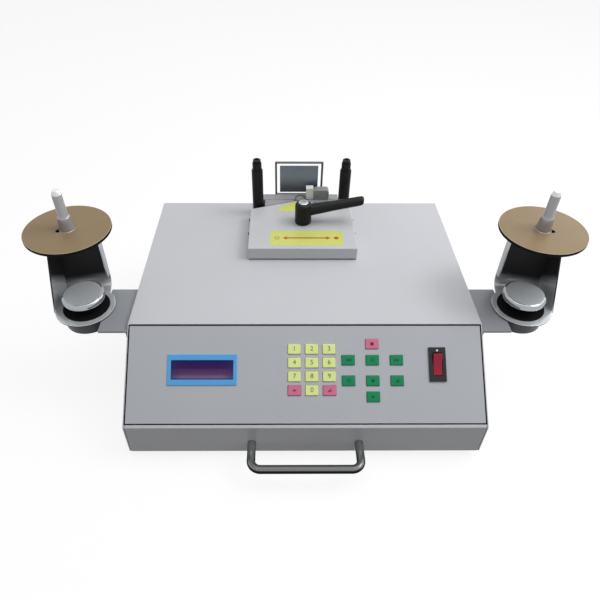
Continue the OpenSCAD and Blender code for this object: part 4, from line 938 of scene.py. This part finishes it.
# Reel discs: brown hardboard with a bore that fits the spindle's collar and a drive notch beside it; the edge
# is dark, the underside carries painted shade and the top of the rim a painted highlight.
disc_low, disc_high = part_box("reel_disc_right")
fibre_share, patch_share, rim_highlight_share, rim_highlight_from = 0.55, 0.45, 0.7, 0.03
upper_facing, side_dull, patch_dull, upper_polish = 0.2, 0.84, 0.2, -0.5
disc_board, disc_tree, disc_shader = new_finish("disc_board")
disc_calc, disc_mix = partial(calc, disc_tree), partial(mixed, disc_tree)
on_disc = on_piece(disc_tree)
fibre_lines = add_node(disc_tree, "ShaderNodeMapping",
                       {"Vector": on_disc["Object"], "Scale": (900, 260, 900)}).outputs[0]
fibres = noise(disc_tree, fibre_lines, scale=1.0, detail=4.0)
patches = noise(disc_tree, on_disc["Object"], scale=32.0, detail=3.0)
board_share = disc_calc("MULTIPLY_ADD", fibres, fibre_share, disc_calc("MULTIPLY", patches, patch_share))
board_tan = disc_mix(board_share, tint(129, 107, 77), tint(156, 137, 106))
upper = disc_calc("GREATER_THAN", split(disc_tree, on_disc["Normal"])["Z"], upper_facing)
disc_axis = (disc_low + disc_high) / 2
disc_rings = add_node(disc_tree, "ShaderNodeGroup", {"Axis": disc_axis}, node_tree=turned_rings).outputs
# A pale band on the rounded top edge near the rim: a painted highlight.
near_edge = disc_calc("GREATER_THAN", disc_rings["Radius"], rim_highlight_from)
rim_highlight_mask = disc_calc("MULTIPLY", disc_calc("MULTIPLY", rounded_edge(disc_tree), upper), near_edge)
# All faces not turned up are near black: the dark edge, and painted shade on the underside.
disc_edge_and_shade = disc_mix(upper, tint(9, 8, 7), board_tan)
disc_gloss = disc_calc("MULTIPLY_ADD", patches, patch_dull, side_dull)
painted_rim_highlight = disc_calc("MULTIPLY", rim_highlight_mask, rim_highlight_share)
feed(disc_tree, disc_shader, {"Base Color": disc_mix(painted_rim_highlight, disc_edge_and_shade, tint(206, 194, 170)),
                              "Roughness": disc_calc("MULTIPLY_ADD", upper, upper_polish, disc_gloss),
                              "Normal": bumped(disc_tree, fibres, strength=0.05, distance=0.0002)})
set_sockets(disc_shader, {"specular_ior_level": 0.25})
for side in sides:
    shown("disc_" + side, "reel_disc_" + side, disc_board, rounding=0.0005)

# Spindles: turned aluminium on the motors' shafts, with a flange under the disc, a collar in its bore, a
# conical hub whose shoulder centres the reel, a rod and a blunt tip.
spindle_low, spindle_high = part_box("spindle_right")
spindle_axis = (spindle_low + spindle_high) / 2
disc_back, disc_face, spindle_top = disc_low.z, disc_high.z, spindle_high.z
shaft_r, flange_r, collar_r, hub_r = 0.0025, 0.015, 0.009, 0.0085
hub_top_r, rod_r, tip_r = 0.007, 0.0055, 0.0035
flange_foot, hub_shoulder, hub_top = disc_back - 0.003, disc_face + 0.003, disc_face + 0.016
rod_foot, tip_foot = disc_face + 0.019, spindle_top - 0.005
spindle_profile = [
    (0, spindle_low.z), (shaft_r, spindle_low.z), (shaft_r, flange_foot),
    (flange_r - turned_edge, flange_foot), (flange_r, flange_foot + turned_edge),
    (flange_r, disc_back - turned_edge), (flange_r - turned_edge, disc_back),
    (collar_r, disc_back), (collar_r, disc_face - turned_edge), (hub_r, disc_face), (hub_r, hub_shoulder),
    (hub_top_r, hub_top - turned_edge), (hub_top_r - turned_edge, hub_top), (rod_r, rod_foot),
    (rod_r, tip_foot - turned_edge), (rod_r - turned_edge, tip_foot + turned_edge),
    (tip_r + turned_edge, spindle_top - turned_edge), (tip_r, spindle_top), (0, spindle_top)]
# Everything above tip_foot is painted near white: a painted highlight on the tip.
spindle_metal = turned_finish("spindle_metal", spindle_axis, (tint(172, 171, 175), tint(178, 177, 181)),
                              gloss=(0.16, 0.22), flat_tone=tint(244, 244, 245), flat_above=tip_foot,
                              bump=0.0, metallic=0.35)
for side, sign in sides.items():
    spindle = turned("spindle_pin_" + side, spindle_profile, upright(spindle_axis, sign), segments=56)
    stands_for(as_piece("spindle_pin_" + side, spindle, spindle_metal), "spindle_" + side)

# Gate rail: a flat steel bar screwed to the cover, along which the gate block slides. The block hides it.
# It wears the arms' paint.
shown("rail_bar", "gate_rail", arm_grey, rounding=0.0005)

# Gate block: a hood of painted steel with a pointed nose that presses the tape against the rear guide.
# Two yellow labels on its top show which way the clamp lever turns; dark screws hold its ribs at the sides,
# and a black strip in the gap below its front wall is painted shade.
gate_pale = satin_finish("gate_pale", tint(198, 199, 202))
shown("gate_hood", "gate_block", gate_pale, rounding=0.0012, steps=3)
gate_low, gate_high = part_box("gate_block")
gate_top = Matrix.Translation((0, 0, gate_high.z))
label_yellow = satin_finish("label_yellow", tint(209, 216, 113), grain=700.0, cloud=50.0, tone=0.14,
                            gloss=(0.3, 0.42), bump=0.02)
label_red = satin_finish("label_red", tint(186, 84, 44), grain=900.0, tone=0.15, gloss=(0.34, 0.45), bump=0.0)
label_place = gate_top @ Matrix.Translation((0.0059, 0.0815, 0))
label_half, label_depth, label_corner = 0.0492, 0.0171, 0.0015
label_outline = [(x_side * (label_half - label_corner) + label_corner * math.cos(math.radians(start + turn)),
                  y_side * (label_depth - label_corner) + label_corner * math.sin(math.radians(start + turn)))
                 for x_side, y_side, start in ((1, 1, 0), (-1, 1, 90), (-1, -1, 180), (1, -1, 270))
                 for turn in range(0, 91, 30)]
arrow_half, arrow_thick, arrow_head, arrow_wing = 0.0330, 0.0013, 0.0062, 0.0038
shaft_half = arrow_half - arrow_head
arrow = [(-arrow_half, 0), (-shaft_half, -arrow_wing), (-shaft_half, -arrow_thick),
         (shaft_half, -arrow_thick), (shaft_half, -arrow_wing), (arrow_half, 0), (shaft_half, arrow_wing),
         (shaft_half, arrow_thick), (-shaft_half, arrow_thick), (-shaft_half, arrow_wing)]
dot_middle, dot_radius, open_dot, filled_dot = 0.0405, 0.0034, 0.0024, 0.0002
nose_outline = [(-0.0320, 0.1485), (0.0320, 0.1485), (0.0320, 0.1600), (0.0020, 0.1782), (-0.0020, 0.1782),
                (-0.0320, 0.1600)]


def ring_outlines(middle, outer, inner, parts=12):
    """A ring as a row of small closed plates."""
    turns = [2 * math.pi * i / parts for i in range(parts + 1)]
    return [[(middle + radius * math.cos(turn), radius * math.sin(turn))
             for radius, turn in ((inner, a), (outer, a), (outer, b), (inner, b))]
            for a, b in zip(turns, turns[1:])]


label_marks = ([arrow] + ring_outlines(-dot_middle, dot_radius, open_dot)
               + ring_outlines(dot_middle, dot_radius, filled_dot))
label_plate = printed_outlines("label_plate", [label_outline], label_place)
label_arrow = printed_outlines("label_arrow", label_marks,
                               label_place @ Matrix.Translation((0, 0, print_height)))
nose_plate = printed_outlines("nose_plate", [nose_outline], gate_top)
labels = one_mesh("gate_labels", [dressed(label_plate, label_yellow), dressed(label_arrow, label_red),
                                  dressed(nose_plate, label_yellow)])
goes_with(as_piece("gate_labels", labels), "gate")

cover_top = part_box("top_cover")[1].z
# A black strip in the gap under the gate's front wall: painted shade.
gap_shade_inset, gap_shade_width, gap_shade_lift, gap_shade_tuck = 0.0003, 0.0020, 0.0002, 0.0004
gap_shade_half, gap_shade_front = gate_high.x - 0.0010, gate_low.y + gap_shade_inset
gap_shade_outline = bar_outline(-gap_shade_half, gap_shade_front, gap_shade_half, gap_shade_front + gap_shade_width)
gap_shade = printed_outlines("gate_gap_shade", [gap_shade_outline], Matrix.Translation((0, 0, cover_top + gap_shade_lift)),
                        height=gate_low.z - cover_top - gap_shade_lift + gap_shade_tuck)
goes_with(as_piece("gate_gap_shade", gap_shade, foot_black), "gate")

dark_zinc = satin_finish("dark_zinc", tint(66, 68, 72), grain=1500.0, tone=0.2, gloss=(0.3, 0.45),
                         metallic=1.0)
gate_face, rib_screw_y, rib_screw_z = 0.07325, (0.1055, 0.140), 0.1385
rib_spots = [((sign * gate_face, y, rib_screw_z), (sign, 0, 0))
             for sign in sides.values() for y in rib_screw_y]
side_screws = on_points("gate_screws", pan_screw, rib_spots, dark_zinc, head_radius=0.0026,
                        head_height=0.0022, shank_radius=0.0014, shank_length=0.003)
goes_with(as_piece("gate_screws", smooth(side_screws, angle=30)), "gate")

# Clamp lever: a moulded black lever with a round hub and a tapered arm, on a steel stud. A bright screw
# in the hub's top holds it; it is swung to the front to free the block.
lever_axis = Vector((0.002, 0.12075, 0))
lever_foot, lever_top, lever_radius = 0.1485, 0.1795, 0.0115
arm_drop, arm_rise = 0.013, math.tan(math.radians(11.5))
arm_sections = ((0.000, 0.0088, 0.0088), (0.022, 0.0081, 0.0080), (0.044, 0.0071, 0.0070),
                (0.060, 0.0068, 0.0067), (0.074, 0.0068, 0.0067), (0.0795, 0.0066, 0.0064),
                (0.0818, 0.0058, 0.0056), (0.0828, 0.0042, 0.0040))
arm_segments = 28
oval_turns = [2 * math.pi * i / arm_segments for i in range(arm_segments)]
bm = bmesh.new()
ovals = []
for along, half_width, half_height in arm_sections:
    middle = lever_top - arm_drop + along * arm_rise
    ovals.append([bm.verts.new((along, half_width * math.cos(turn), middle + half_height * math.sin(turn)))
                  for turn in oval_turns])
for low, high in zip(ovals, ovals[1:]):
    bridged(bm, low, high)
bm.faces.new(ovals[0])
bm.faces.new(ovals[-1])
lever_arm = closed_form(bm, "lever_arm", Matrix.Identity(4))
hub_profile = [(0, lever_foot), (lever_radius - 0.0014, lever_foot),
               (lever_radius - 0.0004, lever_foot + 0.0004), (lever_radius, lever_foot + 0.0014),
               (lever_radius, lever_top - 0.0034), (lever_radius - 0.0010, lever_top - 0.0012),
               (lever_radius - 0.0030, lever_top), (0, lever_top)]
lever_hub = turned("lever_hub", hub_profile, Matrix.Identity(4), segments=40)
lever_body = with_modifiers("lever_body", one_mesh("lever_body", [lever_hub, lever_arm]),
                            ("REMESH", {"mode": "VOXEL", "voxel_size": 0.0006}),
                            ("SMOOTH", {"factor": 0.5, "iterations": 8}))
at_lever = upright(lever_axis)
lever_body.transform(at_lever)
lever_black = satin_finish("lever_black", tint(15, 15, 17), grain=1300.0, cloud=60.0, tone=0.15,
                           gloss=(0.34, 0.46), bump=0.05, specular_ior_level=0.22)
screw_r, dish_r, screw_foot = 0.0070, 0.0036, lever_top - 0.001
screw_top, screw_dish = lever_top + 0.0015, lever_top + 0.0004
screw_profile = [(0, screw_foot), (screw_r, screw_foot), (screw_r, screw_top - 0.0006),
                 (screw_r - 0.0007, screw_top), (dish_r, screw_top), (dish_r - 0.0001, screw_dish),
                 (0, screw_dish)]
lever_screw = turned("lever_screw", screw_profile, at_lever, segments=36)
lever_pin_r, lever_pin_foot, lever_pin_top = 0.0040, 0.1378, lever_foot + 0.0010
lever_stud = turned("lever_stud", pin_outline(lever_pin_r, lever_pin_foot, lever_pin_top, turned_edge),
                    at_lever, segments=32)
lever = one_mesh("lever_handle", [dressed(lever_body, lever_black), dressed(lever_screw, zinc),
                                  dressed(lever_stud, zinc)])
stands_for(as_piece("lever_handle", smooth(lever, angle=45)), "clamp_lever")

# Tape guide posts: black turned sleeves that roll on fixed pins, stepped in near the top, where a black
# cap screw keeps each on its pin.
post_axis = Vector((0.063, 0.17225, 0))
post_black = turned_finish("post_black", post_axis, (tint(12, 12, 14), tint(20, 20, 22)), gloss=(0.34, 0.46),
                           specular_ior_level=0.2)
sleeve_bore, sleeve_r, step_r = 0.00305, 0.0080, 0.0065
sleeve_foot, sleeve_step, sleeve_top = 0.1298, 0.2022, 0.2131
sleeve_profile = [(sleeve_bore, sleeve_foot), (sleeve_r - turned_edge, sleeve_foot),
                  (sleeve_r, sleeve_foot + turned_edge), (sleeve_r, sleeve_step - 0.0009),
                  (sleeve_r - 0.0003, sleeve_step - 0.0002), (step_r + 0.00005, sleeve_step),
                  (step_r, sleeve_step + 0.0008), (step_r, sleeve_top - 0.0005),
                  (step_r - 0.0003, sleeve_top), (sleeve_bore, sleeve_top), (sleeve_bore, sleeve_foot)]
pin_r, head_r, socket_r = 0.0030, 0.0055, 0.0026
pin_foot, pin_seat, pin_top, pin_socket = 0.1247, 0.2135, 0.2175, 0.2160
pin_profile = [(0, pin_foot), (pin_r, pin_foot), (pin_r, pin_seat), (head_r - 0.0003, pin_seat),
               (head_r, pin_seat + 0.0003), (head_r, pin_top - 0.0007), (head_r - 0.0005, pin_top),
               (socket_r, pin_top), (socket_r - 0.0001, pin_socket), (0, pin_socket)]
pins = []
for side, sign in sides.items():
    axis = upright(post_axis, sign)
    sleeve = turned("post_sleeve_" + side, sleeve_profile, axis)
    stands_for(as_piece("post_sleeve_" + side, sleeve, post_black), "guide_roller_" + side)
    pins.append(dressed(turned("post_pin_" + side, pin_profile, axis, segments=40), post_black))
nut_spots = [((sign * post_axis.x, post_axis.y, pin_foot), (0, 0, 1)) for sign in sides.values()]
pins.append(on_points("post_nuts", hex_nut, nut_spots, zinc, radius=0.006, height=0.003, bore=0.0025))
stands_for(as_piece("post_pins", smooth(one_mesh("post_pins", pins), angle=40)), "guide_pins")

# Rear guide: a painted bar along the back edge, which the nose presses the tape against, with two wedges
# that follow the nose's slopes. A pocket in its middle holds the tape sprocket.
guide_grey = satin_finish("guide_grey", tint(157, 158, 162))
shown("guide_bar", "rear_guide", guide_grey, rounding=0.0006)

# Tape sprocket: a steel wheel with a row of pins that the tape turns, on a shaft that carries a slotted
# code disc below the cover. A black fork sensor reads the disc.
sprocket_steel = satin_finish("sprocket_steel", tint(194, 196, 198), grain=1200.0, cloud=60.0, tone=0.15,
                              gloss=(0.22, 0.34), metallic=0.4)
shown("sprocket_wheel", "tape_sprocket", sprocket_steel, rounding=0.0001, steps=1)
shown("fork_sensor", "code_sensor", switch_plastic, rounding=0.0003)

# Sensor frame: a dark painted frame that stands on the back edge behind the guide.
# It holds a dark glossy pane on a foot, with an open gap all round.
frame_grey = satin_finish("frame_grey", tint(92, 94, 98), gloss=(0.3, 0.42))
shown("window_frame", "sensor_frame", frame_grey, rounding=0.0005)
pane_low, pane_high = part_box("sensor_window")
dark_to, light_from = pane_low.z + 0.004, pane_high.z - 0.012
pane_dull, smear_dull = 0.14, 0.12
pane_glass, pane_tree, pane_shader = new_finish("pane_glass")
pane_place = on_piece(pane_tree)["Object"]
# The pane grows lighter towards its top: a painted reflection.
pane_fall = smooth_step(pane_tree, split(pane_tree, pane_place)["Z"], dark_to, light_from)
pane_smear = noise(pane_tree, pane_place, scale=60.0, detail=2.0)
pane_painted_reflection = mixed(pane_tree, pane_fall, tint(73, 77, 88), tint(142, 152, 167))
pane_gloss = calc(pane_tree, "MULTIPLY_ADD", pane_smear, smear_dull, pane_dull)
feed(pane_tree, pane_shader, {"Base Color": pane_painted_reflection, "Roughness": pane_gloss})
shown("window_pane", "sensor_window", pane_glass, rounding=0.0002)

# Sensor head: a small grey moulded block with a rounded top, which stands on the rear guide and looks at
# the tape through a round eye. A clear light guide stands beside it.
head_grey = satin_finish("head_grey", tint(142, 145, 144), grain=1300.0, tone=0.1, gloss=(0.4, 0.52))
shown("sensor_block", "sensor_head", head_grey, rounding=0.0005)
clear_prism = satin_finish("clear_prism", tint(246, 249, 250), grain=600.0, cloud=120.0, tone=0.08,
                           gloss=(0.06, 0.2), bump=0.02, transmission_weight=0.15, ior=1.3)
shown("light_guide", "sensor_prism", clear_prism, rounding=0.0006)
